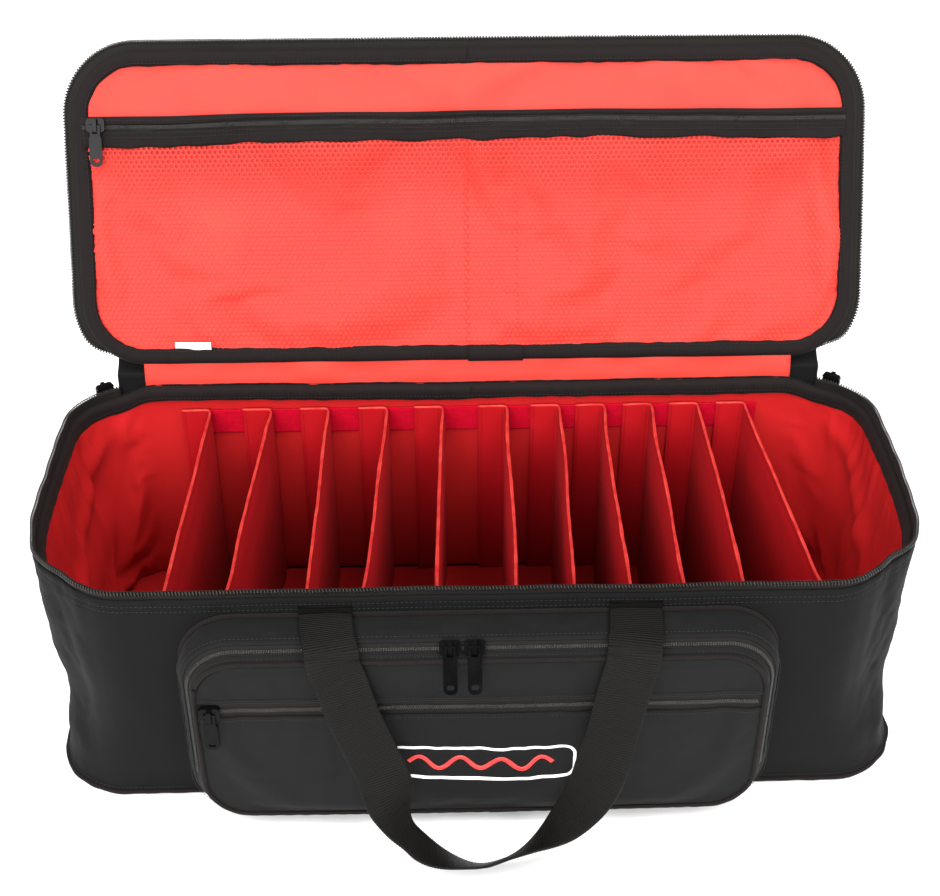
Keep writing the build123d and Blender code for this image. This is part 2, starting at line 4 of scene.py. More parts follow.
import bpy
import numpy as np
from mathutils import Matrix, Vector


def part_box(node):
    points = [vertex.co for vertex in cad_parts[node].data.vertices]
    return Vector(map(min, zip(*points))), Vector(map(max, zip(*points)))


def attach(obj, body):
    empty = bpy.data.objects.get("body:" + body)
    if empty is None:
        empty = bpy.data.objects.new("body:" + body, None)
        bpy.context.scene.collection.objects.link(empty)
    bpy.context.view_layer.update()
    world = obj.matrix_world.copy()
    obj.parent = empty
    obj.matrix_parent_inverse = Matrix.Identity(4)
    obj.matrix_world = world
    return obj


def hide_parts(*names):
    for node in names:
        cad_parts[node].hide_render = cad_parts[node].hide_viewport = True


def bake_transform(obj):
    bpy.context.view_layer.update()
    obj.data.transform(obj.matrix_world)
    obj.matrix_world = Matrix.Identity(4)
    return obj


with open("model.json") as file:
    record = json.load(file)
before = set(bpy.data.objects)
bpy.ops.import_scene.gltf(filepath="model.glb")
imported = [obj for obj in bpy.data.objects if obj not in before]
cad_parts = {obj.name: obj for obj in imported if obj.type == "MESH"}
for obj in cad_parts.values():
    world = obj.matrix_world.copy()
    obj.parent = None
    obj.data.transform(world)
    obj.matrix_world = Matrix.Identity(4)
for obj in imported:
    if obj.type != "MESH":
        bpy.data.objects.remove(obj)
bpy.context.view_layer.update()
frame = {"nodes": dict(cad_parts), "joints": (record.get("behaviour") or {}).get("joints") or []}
scene = bpy.context.scene


# ---- numbers, in millimetres ---------------------------------------------------------------

def top_corner(node):
    """The highest corner of a CAD node's box."""
    return np.array(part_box(node)[1]) * 1000


HALF_X, HALF_Y = top_corner("wall_fabric")[:2]
CORNER = 55.0
ZIP_END_X = 290.0
hinge = [j for j in frame["joints"] if j["name"] == "lid_hinge"][0]
HINGE_Y, HINGE_Z = hinge["pos_m"][1] * 1000, hinge["pos_m"][2] * 1000
LEAN = math.radians(25.7)
LID_HALF, LID_MID, LID_RISE, LID_CORNER = 317.0, 137.0, 125.0, 50.0
POCKET_Z, PANEL_Y = 95.0, -172.2
LID_SKIN = 3.5  # the lid lining's height over the lid's middle plane
RIM_Z = 190.0
RIM_SEAMS, BASE_SEAM = (188.2, 183.6), 6.0
LINING_THICK, CLOTH_THICK = 0.7, 0.9
RIM_PITCH, RIM_WIRE, POCKET_PITCH, NET_PITCH = 2.39, 0.56, 1.73, 1.9
FRONT_ZIP_Z, FRONT_LOW_TOP, FRONT_TOP_LOW = 124.0, 117.6, 130.6
MARK_Z = 70.0
WEB_WIDTH, HANDLE_X = 38.0, 110.0
STRIP_X, STRIP_LOW, STRIP_TOP = 242, 156.3, 179.7
DIVIDER_LOW, DIVIDER_TOP, DIVIDER_SEAM, FLANGE = 5.3, 182.0, 176.3, 24
REAR_X = (-218, -167, -119, -70, -23, 31, 75, 113, 153, 192, 232)
FRONT_X = (-227, -182, -124, -84, -30, 27, 69, 110, 149, 192, 249)


# ---- mesh helpers --------------------------------------------------------------------------

def smooth(x, a, b):
    t = np.clip((np.asarray(x, float) - a) / (b - a), 0, 1)
    return t * t * (3 - 2 * t)


def hump(x, centre, width):
    return np.exp(-(((np.asarray(x, float) - centre) / width) ** 2))


def waves(seed, count, short, long):
    """A smooth field of random ripples, about -1 to 1, with wavelengths from short to long."""
    rng = np.random.default_rng(seed)
    way = rng.normal(size=(count, 3))
    way /= np.linalg.norm(way, axis=1)[:, None]
    k = 2 * np.pi / rng.uniform(short, long, count)
    phase = rng.uniform(0, 2 * np.pi, count)

    def field(x, y=0.0, z=0.0):
        x, y, z = np.broadcast_arrays(np.asarray(x, float), y, z)
        total = 0
        for w, kk, ph in zip(way, k, phase):
            total = total + np.sin((w[0] * x + w[1] * y + w[2] * z) * kk + ph)
        return total / math.sqrt(count) / 1.2

    return field


def quads(n, m, wrap_n=False, wrap_m=False, base=0):
    i, j = np.meshgrid(np.arange(n if wrap_n else n - 1), np.arange(m if wrap_m else m - 1), indexing="ij")
    i, j = i.ravel(), j.ravel()
    i2, j2 = (i + 1) % n, (j + 1) % m
    return np.stack([i * m + j, i2 * m + j, i2 * m + j2, i * m + j2], 1) + base


def unit(v):
    return v / np.maximum(np.linalg.norm(v, axis=-1, keepdims=True), 1e-9)


def grad(P, axis, wrap):
    if wrap:
        return np.roll(P, -1, axis) - np.roll(P, 1, axis)
    return np.gradient(P, axis=axis)


def normals(P, wrap_n=False, wrap_m=False):
    return unit(np.cross(grad(P, 0, wrap_n), grad(P, 1, wrap_m)))


def outward(me):
    """Turns all faces of a closed mesh outward."""
    me.update(calc_edges=True)
    me.calc_loop_triangles()
    tri = np.zeros(len(me.loop_triangles) * 3, np.int32)
    me.loop_triangles.foreach_get("vertices", tri)
    co = np.zeros(len(me.vertices) * 3, np.float32)
    me.vertices.foreach_get("co", co)
    co = co.reshape(-1, 3).astype(float)
    co -= co.mean(0)
    a, b, c = (co[tri.reshape(-1, 3)[:, k]] for k in range(3))
    if (a * np.cross(b, c)).sum() < 0:
        me.flip_normals()


def build(name, parts, material, body=None):
    """One mesh object from (points, faces, uv or None) parts in millimetres, which may share points."""
    points, uvs, quad_faces, tri_faces, where, base = [], [], [], [], {}, 0
    for V, F, UV in parts:
        if id(V) not in where:
            where[id(V)] = base
            points.append(V)
            uvs.append(np.stack([V[:, 0], V[:, 1] + V[:, 2]], 1) if UV is None else UV)
            base += len(V)
        (tri_faces if F.shape[1] == 3 else quad_faces).append(F + where[id(V)])
    V, UV = np.concatenate(points), np.concatenate(uvs)
    sizes = np.concatenate([np.full(len(f), f.shape[1]) for f in quad_faces + tri_faces])
    corners = np.concatenate([f.ravel() for f in quad_faces + tri_faces])
    me = bpy.data.meshes.new(name)
    me.vertices.add(len(V))
    me.vertices.foreach_set("co", (V * 0.001).ravel().astype(np.float32))
    me.loops.add(len(corners))
    me.loops.foreach_set("vertex_index", corners.astype(np.int32))
    me.polygons.add(len(sizes))
    me.polygons.foreach_set("loop_start", np.concatenate([[0], np.cumsum(sizes)[:-1]]).astype(np.int32))
    me.polygons.foreach_set("use_smooth", np.ones(len(sizes), bool))
    me.uv_layers.new(name="UVMap").data.foreach_set("uv", (UV[corners] * 0.001).ravel().astype(np.float32))
    outward(me)
    me.update(calc_edges=True)
    me.validate()
    ob = bpy.data.objects.new(name, me)
    scene.collection.objects.link(ob)
    me.materials.append(material)
    if body:
        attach(ob, body)
    return ob


def slab(P, thick, wrap=False, uv=None, flip=False):
    """A closed sheet: P is its outer face as a grid, thick goes away from the normal."""
    n, m = P.shape[:2]
    N = normals(P, wrap) * (-1 if flip else 1)
    t = np.asarray(thick, float)
    t = t[..., None] if t.ndim == 2 else t
    V = np.concatenate([P.reshape(-1, 3), (P - N * t).reshape(-1, 3)])
    top = quads(n, m, wrap)
    low = top[:, ::-1] + n * m
    rim = []

    def side(a, b):
        rim.append(np.stack([a[:-1], b[:-1], b[1:], a[1:]], 1))

    idx = np.arange(n * m).reshape(n, m)
    rows = np.concatenate([idx, idx[:1]]) if wrap else idx
    side(rows[:, 0], rows[:, 0] + n * m)
    side(rows[::-1, -1], rows[::-1, -1] + n * m)
    if not wrap:
        side(idx[0, ::-1], idx[0, ::-1] + n * m)
        side(idx[-1], idx[-1] + n * m)
    F = np.concatenate([top, low] + rim)
    if flip:
        F = F[:, ::-1]
    if uv is None:
        du = np.linalg.norm(np.diff(P, axis=0), axis=-1).mean(1)
        dv = np.linalg.norm(np.diff(P, axis=1), axis=-1).mean(0)
        u, v = np.concatenate([[0], np.cumsum(du)]), np.concatenate([[0], np.cumsum(dv)])
        uv = np.stack(np.broadcast_arrays(u[:, None], v[None]), -1)
    uv = np.asarray(uv).reshape(-1, 2)
    return V, F, np.concatenate([uv, uv])


def sweep(P, frames, profile, closed_path=False):
    """A solid from a closed profile (k, 2) carried along points P, with frames = (A, B) at each point."""
    A, B = frames
    profile = np.asarray(profile, float)
    if profile.ndim == 2:
        profile = np.broadcast_to(profile, (len(P),) + profile.shape)
    V = P[:, None] + A[:, None] * profile[..., :1] + B[:, None] * profile[..., 1:]
    n, k = V.shape[:2]
    uv = np.stack(np.broadcast_arrays(table(P)[:, None], table(profile[0])[None]), -1).reshape(-1, 2)
    V = V.reshape(-1, 3)
    sides = quads(n, k, closed_path, True)
    if closed_path:
        return [(V, sides, uv)]
    base, last = len(V), (n - 1) * k
    V = np.concatenate([V, [V[:k].mean(0), V[-k:].mean(0)]])
    uv = np.concatenate([uv, uv[:1], uv[-1:]])
    j = np.arange(k)
    j2 = (j + 1) % k
    first_cap = np.stack([np.full(k, base), j2, j], 1)
    last_cap = np.stack([np.full(k, base + 1), last + j, last + j2], 1)
    return [(V, sides, uv), (V, first_cap, uv), (V, last_cap, uv)]


def tube_parts(P, radius, sides):
    """A closed round tube along the loop P."""
    T = unit(grad(P, 0, True))
    up = np.array([0.0, 0.0, 1.0])
    A = np.where((np.abs(T @ up) > 0.95)[:, None], np.array([1.0, 0, 0]), up)
    A = unit(A - (A * T).sum(-1, keepdims=True) * T)
    B = np.cross(T, A)
    ang = np.linspace(0, 2 * np.pi, sides, endpoint=False)
    prof = np.stack([np.cos(ang), np.sin(ang)], 1)[None] * radius[:, None, None]
    return sweep(P, (A, B), prof, True)


def table(points):
    """Arc length along a polyline, for resampling."""
    d = np.linalg.norm(np.diff(points, axis=0), axis=1)
    return np.concatenate([[0], np.cumsum(d)])


def resample(P, step, *others):
    s = table(P)
    n = max(2, int(round(s[-1] / step)) + 1)
    t = np.linspace(0, s[-1], n)
    out = [np.stack([np.interp(t, s, P[:, k]) for k in range(P.shape[1])], 1)]
    for o in others:
        o = np.asarray(o, float)
        if o.ndim == 1:
            out.append(np.interp(t, s, o))
        else:
            out.append(np.stack([np.interp(t, s, o[:, k]) for k in range(o.shape[1])], 1))
    return out if others else out[0]


def curve(points, step):
    """A smooth line through the points (Catmull-Rom), resampled to an even step."""
    P = np.asarray(points, float)
    P = np.concatenate([[2 * P[0] - P[1]], P, [2 * P[-1] - P[-2]]])
    t = np.linspace(0, 1, 24, endpoint=False)[:, None]
    out = []
    for a, b, c, d in zip(P[:-3], P[1:-2], P[2:-1], P[3:]):
        out.append(0.5 * (2 * b + (c - a) * t + (2 * a - 5 * b + 4 * c - d) * t**2
            + (3 * b - a - 3 * c + d) * t**3))
    out = np.concatenate(out + [P[-2:-1]])
    return resample(out, step)


def ring(a, b, r, step):
    """Points, outward normals and arc lengths round a rounded rectangle, from mid-top towards -x."""
    arc = np.linspace(0, np.pi / 2, 60)
    P, N = [np.array([[0.0, b]])], [np.array([[0.0, 1.0]])]
    corners = ((-(a - r), b - r, np.pi / 2), (-(a - r), -(b - r), np.pi), (a - r, -(b - r), 1.5 * np.pi),
        (a - r, b - r, 0))
    for cx, cy, turn in corners:
        out = np.stack([np.cos(turn + arc), np.sin(turn + arc)], 1)
        P.append(out * r + (cx, cy))
        N.append(out)
    P, N = np.concatenate(P + P[:1]), np.concatenate(N + N[:1])
    s = table(P)
    t = np.linspace(0, s[-1], max(3, int(round(s[-1] / step))), endpoint=False)
    even = np.stack([np.interp(t, s, P[:, k]) for k in range(2)], 1)
    nor = unit(np.stack([np.interp(t, s, N[:, k]) for k in range(2)], 1))
    return even, nor, t


def row_half(y, a, b, r):
    over = np.clip(np.abs(y) - (b - r), 0, r)
    return a - r + np.sqrt(np.maximum(r * r - over * over, 0))


def edge_gap(x, y, a, b, r):
    """How far inside the rounded rectangle's edge a point is."""
    return np.minimum(row_half(y, a, b, r) - np.abs(x), b - np.abs(y))


def off_line(P, N, out, z):
    """Points at an outward offset from a plan line, at height z; P and N are (n, 2) or (n, 1, 2)."""
    return np.stack(np.broadcast_arrays(P[..., 0] + N[..., 0] * out, P[..., 1] + N[..., 1] * out, z), -1)


def every(v, points):
    """The same direction at every point."""
    return np.broadcast_to(np.array(v, float), points.shape)


def panel(a, b, r, nx, ny):
    """A grid that fills a rounded rectangle; returns X and Y (ny, nx)."""
    arc = b - r * (1 - np.sin(np.linspace(0, np.pi / 2, 9)))
    body = np.linspace(-(b - r), b - r, ny)
    y = np.concatenate([-arc[::-1], body[1:-1], arc])
    half = row_half(y, a, b, r)
    t = np.linspace(-1, 1, nx)
    return np.broadcast_to(half[:, None] * t, (len(y), nx)).copy(), np.broadcast_to(y[:, None],
        (len(y), nx)).copy()


def coil_parts(P, A, B, pitch, across, high, wire, per_turn=10, sides=5, phase=0.0):
    """A zipper coil: a squashed helix of wire along P, wide along A and high along B."""
    P, A, B = resample(P, pitch / per_turn, A, B)
    T = unit(np.gradient(P, axis=0))
    A = unit(A - (A * T).sum(-1, keepdims=True) * T)
    B = np.cross(T, A) * np.sign((np.cross(T, A) * B).sum(-1).mean())
    ang = 2 * np.pi * np.arange(len(P)) / per_turn + phase
    c, s = np.cos(ang), np.sin(ang)
    path = P + A * (across * np.sign(c) * np.abs(c) ** 0.6)[:, None] + B * (high * s)[:, None]
    t = unit(np.gradient(path, axis=0))
    n1 = unit(T - (T * t).sum(-1, keepdims=True) * t)
    n2 = np.cross(t, n1)
    a = np.linspace(0, 2 * np.pi, sides, endpoint=False)
    return sweep(path, (n1, n2), np.stack([np.cos(a), np.sin(a)], 1) * wire)


def stitch_parts(P, N, step=3.2, length=2.3, width=0.34, lift=0.12):
    """A row of thread stitches along P, lying on a surface with normals N."""
    P, N = resample(P, step, N)
    P, N = P[:-1] + np.diff(P, axis=0) / 2, unit(N[:-1])
    T = unit(np.gradient(P, axis=0)) if len(P) > 2 else None
    if T is None:
        return []
    A = unit(np.cross(N, T))
    # a small boat shape: 5 stations of 6 points
    st = np.array([-0.5, -0.38, 0.0, 0.38, 0.5])
    r = np.array([0.25, 0.85, 1.0, 0.85, 0.25])
    h = np.array([-0.6, 0.0, 0.35, 0.0, -0.6])
    ang = np.linspace(0, 2 * np.pi, 6, endpoint=False)
    loc = np.stack([np.broadcast_to(st[:, None] * length, (5, 6)), np.cos(ang)[None] * r[:, None] * width,
        np.sin(ang)[None] * r[:, None] * width * 0.8 + h[:, None] * width + lift], -1)
    V = (P[:, None, None] + T[:, None, None] * loc[None, ..., :1] + A[:, None, None] * loc[None, ..., 1:2]
        + N[:, None, None] * loc[None, ..., 2:])
    one = quads(5, 6, False, True)
    cap = np.array([[0, 1, 2, 3], [0, 3, 4, 5]])
    cap2 = np.array([[27, 26, 25, 24], [29, 28, 27, 24]])
    one = np.concatenate([one, cap, cap2])
    F = (one[None] + (np.arange(len(P)) * 30)[:, None, None]).reshape(-1, 4)
    return [(V.reshape(-1, 3), F, None)]


# stitch pitch, length and half width, and how high it lies
FINE_SEAM, EDGE_SEAM = (3.2, 2.4, 0.32, 0.05), (3.2, 2.4, 0.34, 0.1)


def closed_stitches(P, N, *spec):
    """Stitches all the way round a closed line."""
    return stitch_parts(np.concatenate([P, P[:1]]), np.concatenate([N, N[:1]]), *spec)


def chain_parts(P, across, out, gap, pitch, wide, high, wire):
    """A closed zipper chain: two coils side by side, half a turn apart."""
    return (coil_parts(P + across * gap, across, out, pitch, wide, high, wire, 8, 5)
        + coil_parts(P - across * gap, across, out, pitch, wide, high, wire, 8, 5, math.pi))


def look_up(grid, rows, cols):
    """Values of a grid between its points."""
    rows = np.clip(rows, 0, grid.shape[0] - 1.001)
    cols = np.clip(cols, 0, grid.shape[1] - 1.001)
    i, j = rows.astype(int), cols.astype(int)
    a, b = rows - i, cols - j
    return (grid[i, j] * (1 - a) * (1 - b) + grid[i + 1, j] * a * (1 - b) + grid[i, j + 1] * (1 - a) * b
        + grid[i + 1, j + 1] * a * b)


def settle(P, faces, pin, shrink, pressure, gravity, frames, bend=0.2, mass=0.15):
    """Blender's cloth on a grid of points: pinned where pin is 1, spare cloth where shrink is below 0."""
    me = bpy.data.meshes.new("settle")
    me.from_pydata((P.reshape(-1, 3) * 0.001).tolist(), [], faces.tolist())
    ob = bpy.data.objects.new("settle", me)
    scene.collection.objects.link(ob)
    group = ob.vertex_groups.new(name="pin")
    flat = pin.ravel()
    for level in np.unique(np.round(flat, 2)):
        if level > 0:
            group.add(np.nonzero(np.abs(flat - level) < 0.006)[0].tolist(), float(level), "REPLACE")
    mod = ob.modifiers.new("cloth", "CLOTH")
    s = mod.settings
    s.quality = 5
    s.mass = mass
    s.tension_stiffness = 12
    s.compression_stiffness = 12
    s.shear_stiffness = 4
    s.bending_stiffness = bend
    s.vertex_group_mass = "pin"
    s.shrink_min = shrink
    s.shrink_max = shrink
    s.use_pressure = pressure != 0
    s.uniform_pressure_force = pressure
    s.effector_weights.gravity = gravity
    s.air_damping = 4
    mod.point_cache.frame_start = 1
    mod.point_cache.frame_end = frames
    scene.frame_start, scene.frame_end = 1, frames
    for f in range(1, frames + 1):
        scene.frame_set(f)
    ev = ob.evaluated_get(bpy.context.evaluated_depsgraph_get())
    out = np.zeros(len(ev.data.vertices) * 3, np.float32)
    ev.data.vertices.foreach_get("co", out)
    bpy.data.objects.remove(ob)
    bpy.data.meshes.remove(me)
    scene.frame_set(1)
    return out.reshape(P.shape).astype(float) * 1000


def relax(field, rounds, wrap=False):
    """Smooths a grid of numbers a little."""
    f = field.copy()
    for _ in range(rounds):
        a = (np.roll(f, 1, 0) + np.roll(f, -1, 0) if wrap else np.concatenate([f[:1], f[:-1]])
            + np.concatenate([f[1:], f[-1:]]))
        b = np.concatenate([f[:, :1], f[:, :-1]], 1) + np.concatenate([f[:, 1:], f[:, -1:]], 1)
        f = 0.5 * f + 0.125 * (a + b)
    return f


def refine(G, times, wrap=False):
    """Doubles a grid's density with smooth (cubic) mid points."""
    for _ in range(times):
        for axis in (0, 1):
            w = wrap and axis == 0
            g = np.moveaxis(G, axis, 0)
            if w:
                mid = (9 * (g + np.roll(g, -1, 0)) - np.roll(g, 1, 0) - np.roll(g, -2, 0)) / 16
                out = np.empty((2 * len(g),) + g.shape[1:])
                out[0::2], out[1::2] = g, mid
            else:
                p = np.concatenate([[2 * g[0] - g[1]], g, [2 * g[-1] - g[-2]]])
                mid = (9 * (p[1:-2] + p[2:-1]) - p[:-3] - p[3:]) / 16
                out = np.empty((2 * len(g) - 1,) + g.shape[1:])
                out[0::2], out[1::2] = g, mid
            G = np.moveaxis(out, 0, axis)
    return G


# ---- materials -----------------------------------------------------------------------------

class Nodes:
    def __init__(self, name):
        self.m = bpy.data.materials.new(name)
        self.m.use_nodes = True
        self.t = self.m.node_tree
        self.b = self.t.nodes["Principled BSDF"]

    def new(self, kind, **props):
        n = self.t.nodes.new("ShaderNode" + kind)
        for k, v in props.items():
            setattr(n, k, v)
        return n

    def link(self, a, b):
        self.t.links.new(a, b)

    def math(self, op, a, b):
        n = self.new("Math", operation=op)
        for i, v in enumerate((a, b)):
            if isinstance(v, (int, float)):
                n.inputs[i].default_value = v
            else:
                self.link(v, n.inputs[i])
        return n.outputs[0]

    def noise(self, coord, size, detail=3.0, rough=0.55):
        n = self.new("TexNoise")
        n.inputs["Scale"].default_value = 1000.0 / size
        n.inputs["Detail"].default_value = detail
        n.inputs["Roughness"].default_value = rough
        self.link(coord, n.inputs["Vector"])
        return n.outputs["Fac"]

    def bands(self, coord, pitch, axis, distort=0.4):
        n = self.new("TexWave", wave_type="BANDS", bands_direction=axis, wave_profile="SIN")
        n.inputs["Scale"].default_value = 314.159 / pitch
        n.inputs["Distortion"].default_value = distort
        n.inputs["Detail"].default_value = 1.0
        n.inputs["Detail Scale"].default_value = 1.5
        self.link(coord, n.inputs["Vector"])
        return n.outputs["Fac"]

    def mix(self, fac, a, b):
        n = self.new("Mix", data_type="RGBA")
        self.link(fac, n.inputs[0])
        n.inputs[6].default_value = a
        n.inputs[7].default_value = b
        return n.outputs[2]

    def remap(self, value, lo, hi, to_lo, to_hi):
        n = self.new("MapRange")
        self.link(value, n.inputs["Value"])
        for k, v in (("From Min", lo), ("From Max", hi), ("To Min", to_lo), ("To Max", to_hi)):
            n.inputs[k].default_value = v
        return n.outputs["Result"]

    def bump(self, height, strength, distance):
        n = self.new("Bump")
        n.inputs["Strength"].default_value = strength
        n.inputs["Distance"].default_value = distance * 0.001
        self.link(height, n.inputs["Height"])
        self.link(n.outputs["Normal"], self.b.inputs["Normal"])


def cloth(name, dark, light, pitch=0.75, rough=(0.62, 0.82), sheen=0.15, sheen_tint=(1, 1, 1, 1), spec=0.35,
        bump=0.6, depth=0.12, twill=False, warp_only=None, mottle=45.0, aspect=1.0, edge_highlight=None):
    """Woven cloth: crossing threads on the piece's own UVs, uneven dye and a soft sheen."""
    k = Nodes(name)
    uv = k.new("UVMap", uv_map="UVMap").outputs[0]
    ob = k.new("TexCoord").outputs["Object"]
    if twill:
        rot = k.new("Mapping")
        rot.inputs["Rotation"].default_value = (0, 0, math.radians(45))
        k.link(uv, rot.inputs["Vector"])
        weave = k.math("MULTIPLY", k.bands(rot.outputs[0], pitch, "X"),
            k.remap(k.bands(uv, pitch * 0.8, "Y"), 0, 1, 0.6, 1))
    elif warp_only:
        weave = k.math("MULTIPLY", k.bands(uv, pitch, warp_only, 0.2),
            k.remap(k.bands(uv, pitch * aspect, "Y" if warp_only == "X" else "X"), 0, 1, 0.7, 1))
    else:
        weave = k.math("MAXIMUM", k.bands(uv, pitch, "X"), k.bands(uv, pitch * aspect, "Y"))
    fibre = k.noise(ob, 0.9, 2.0)
    blotch = k.noise(ob, mottle, 4.0)
    fac = k.math("ADD", k.math("MULTIPLY", weave, 0.45), k.math("ADD", k.math("MULTIPLY", fibre, 0.35),
        k.math("MULTIPLY", blotch, 0.35)))
    colour = k.mix(k.remap(fac, 0.25, 0.95, 0, 1), dark, light)
    if edge_highlight:
        # painted highlight: paler along the folded top edge, less in the seam between its two folds
        height = k.new("SeparateXYZ")
        k.link(uv, height.inputs[0])
        highlight_mask = k.math("MULTIPLY", k.remap(height.outputs[1], 0.1803, 0.1811, 0, 1),
            k.remap(height.outputs[1], 0.1814, 0.1818, 1, 0.3))
        highlight_mask = k.math("MULTIPLY", highlight_mask, k.remap(k.noise(ob, 14.0), 0.35, 0.6, 0.35, 1))
        highlight_mix = k.new("Mix", data_type="RGBA")
        k.link(highlight_mask, highlight_mix.inputs[0])
        k.link(colour, highlight_mix.inputs[6])
        highlight_mix.inputs[7].default_value = edge_highlight
        colour = highlight_mix.outputs[2]
    k.link(colour, k.b.inputs["Base Color"])
    k.link(k.remap(k.math("ADD", blotch, k.math("MULTIPLY", weave, 0.3)), 0.3, 1.0, rough[0], rough[1]),
        k.b.inputs["Roughness"])
    k.b.inputs["Specular IOR Level"].default_value = spec
    k.b.inputs["Sheen Weight"].default_value = sheen
    k.b.inputs["Sheen Roughness"].default_value = 0.45
    k.b.inputs["Sheen Tint"].default_value = sheen_tint
    k.bump(k.math("ADD", weave, k.math("MULTIPLY", fibre, 0.5)), bump, depth)
    return k.m


def hard(name, dark, light, rough, metallic=0.0, spec=0.5, coat=0.0, grain=2.0, bump=0.15, depth=0.05):
    """Moulded plastic, lacquered metal and the like: fine orange peel, faint smudges."""
    k = Nodes(name)
    ob = k.new("TexCoord").outputs["Object"]
    fine, smudge = k.noise(ob, grain, 3.0), k.noise(ob, 14.0, 3.0)
    k.link(k.mix(k.remap(k.math("ADD", fine, smudge), 0.6, 1.4, 0, 1), dark, light), k.b.inputs["Base Color"])
    k.link(k.remap(smudge, 0.3, 0.7, rough[0], rough[1]), k.b.inputs["Roughness"])
    k.b.inputs["Metallic"].default_value = metallic
    k.b.inputs["Specular IOR Level"].default_value = spec
    k.b.inputs["Coat Weight"].default_value = coat
    k.bump(fine, bump, depth)
    return k.m


GREY = (0.8, 0.8, 0.8, 1)
MATT_RED = dict(pitch=0.6, rough=(0.6, 0.8), sheen=0.03, sheen_tint=(1.0, 0.2, 0.2, 1), spec=0.03, bump=0.35,
    depth=0.08)
BLACK = cloth("black_cloth", (0.002, 0.0019, 0.002, 1), (0.0072, 0.0069, 0.0071, 1), pitch=0.9, spec=0.055,
    sheen=0.02, sheen_tint=GREY)
POCKET = cloth("pocket_cloth", (0.0027, 0.0025, 0.0026, 1), (0.0088, 0.0083, 0.0085, 1), pitch=0.9, spec=0.08,
    sheen=0.025, sheen_tint=GREY)
RED = cloth("red_lining", (0.42, 0.023, 0.016, 1), (0.58, 0.044, 0.031, 1), pitch=0.6, rough=(0.5, 0.7),
    sheen=0.12, sheen_tint=(1.0, 0.5, 0.35, 1), spec=0.16, bump=0.35, depth=0.08, mottle=70)
# wall and floor lining: a darker copy of the red lining, as painted shade inside the bag
INNER = cloth("red_wall_lining_shaded", (0.295, 0.0062, 0.0076, 1), (0.43, 0.0138, 0.0142, 1), **MATT_RED, mottle=70)
# divider cloth: a darker copy of the red lining, as painted shade for the compartments, with a painted
# highlight along its top edge
DIVIDER = cloth("divider_cloth", (0.235, 0.0026, 0.005, 1), (0.365, 0.007, 0.0105, 1), **MATT_RED, mottle=60,
    edge_highlight=(0.6, 0.07, 0.05, 1))
LOOP = cloth("loop_tape_pile", (0.27, 0.0012, 0.008, 1), (0.46, 0.003, 0.018, 1), pitch=1.3, rough=(0.9, 1.0),
    sheen=0.1, sheen_tint=(1.0, 0.05, 0.12, 1), spec=0.02, bump=1.0, depth=0.4, mottle=6)
NET = cloth("net", (0.46, 0.021, 0.014, 1), (0.60, 0.035, 0.026, 1), pitch=0.4, rough=(0.45, 0.65),
    sheen=0.06, sheen_tint=(1.0, 0.6, 0.5, 1), spec=0.16, bump=0.3, depth=0.05)
BIND = cloth("binding_tape", (0.0038, 0.0028, 0.0026, 1), (0.0125, 0.0092, 0.0086, 1), pitch=1.1,
    rough=(0.6, 0.85), sheen=0.03, spec=0.08, sheen_tint=(0.8, 0.75, 0.75, 1), warp_only="X", aspect=0.5,
    bump=0.9, depth=0.2)
TAPE = cloth("zipper_tape", (0.0045, 0.0036, 0.003, 1), (0.0145, 0.0118, 0.0102, 1), pitch=0.8, twill=True,
    spec=0.09, sheen=0.03, sheen_tint=GREY, bump=0.8, depth=0.15)
WEB = cloth("webbing", (0.0014, 0.0013, 0.0011, 1), (0.0072, 0.0066, 0.0058, 1), pitch=0.62,
    rough=(0.4, 0.55), sheen=0.0, sheen_tint=(0.8, 0.8, 0.78, 1), spec=0.1, warp_only="Y", aspect=3.0,
    bump=0.8, depth=0.2)
FOAM = cloth("foam", (0.10, 0.10, 0.105, 1), (0.2, 0.2, 0.21, 1), pitch=1.2, rough=(0.9, 1.0), sheen=0.0,
    mottle=5)
LABEL = cloth("label", (0.72, 0.71, 0.70, 1), (0.88, 0.87, 0.86, 1), pitch=0.5, rough=(0.5, 0.7), sheen=0.1,
    bump=0.3, depth=0.05)
COIL = hard("zipper_coil", (0.004, 0.0038, 0.0034, 1), (0.016, 0.0152, 0.0138, 1), (0.26, 0.38), spec=0.34)
METAL = hard("black_metal", (0.0015, 0.0015, 0.0015, 1), (0.004, 0.004, 0.0042, 1), (0.12, 0.2), metallic=0.0,
    spec=0.055, coat=0.0)
CHAIN = hard("pocket_coil", (0.010, 0.0096, 0.0088, 1), (0.036, 0.0345, 0.032, 1), (0.24, 0.36), spec=0.5)
BOARD = hard("board", (0.05, 0.05, 0.052, 1), (0.09, 0.09, 0.092, 1), (0.7, 0.85), grain=6)
THREAD = hard("black_thread", (0.004, 0.0039, 0.0036, 1), (0.012, 0.0117, 0.011, 1), (0.4, 0.6), spec=0.2,
    grain=0.5)
RED_THREAD = hard("red_thread", (0.10, 0.0012, 0.003, 1), (0.17, 0.0025, 0.005, 1), (0.45, 0.6), spec=0.1,
    grain=0.5)
INK_WHITE = hard("print_white", (0.76, 0.75, 0.74, 1), (0.88, 0.87, 0.86, 1), (0.4, 0.55), grain=0.8,
    bump=0.3)
INK_RED = hard("print_red", (0.62, 0.02, 0.02, 1), (0.8, 0.04, 0.035, 1), (0.4, 0.55), grain=0.8, bump=0.3)

# ---- the body's shape ----------------------------------------------------------------------

soft1 = waves(11, 14, 90, 260)
soft2 = waves(12, 16, 24, 70)
soft3 = waves(13, 18, 9, 26)
rim1 = waves(14, 8, 90, 320)


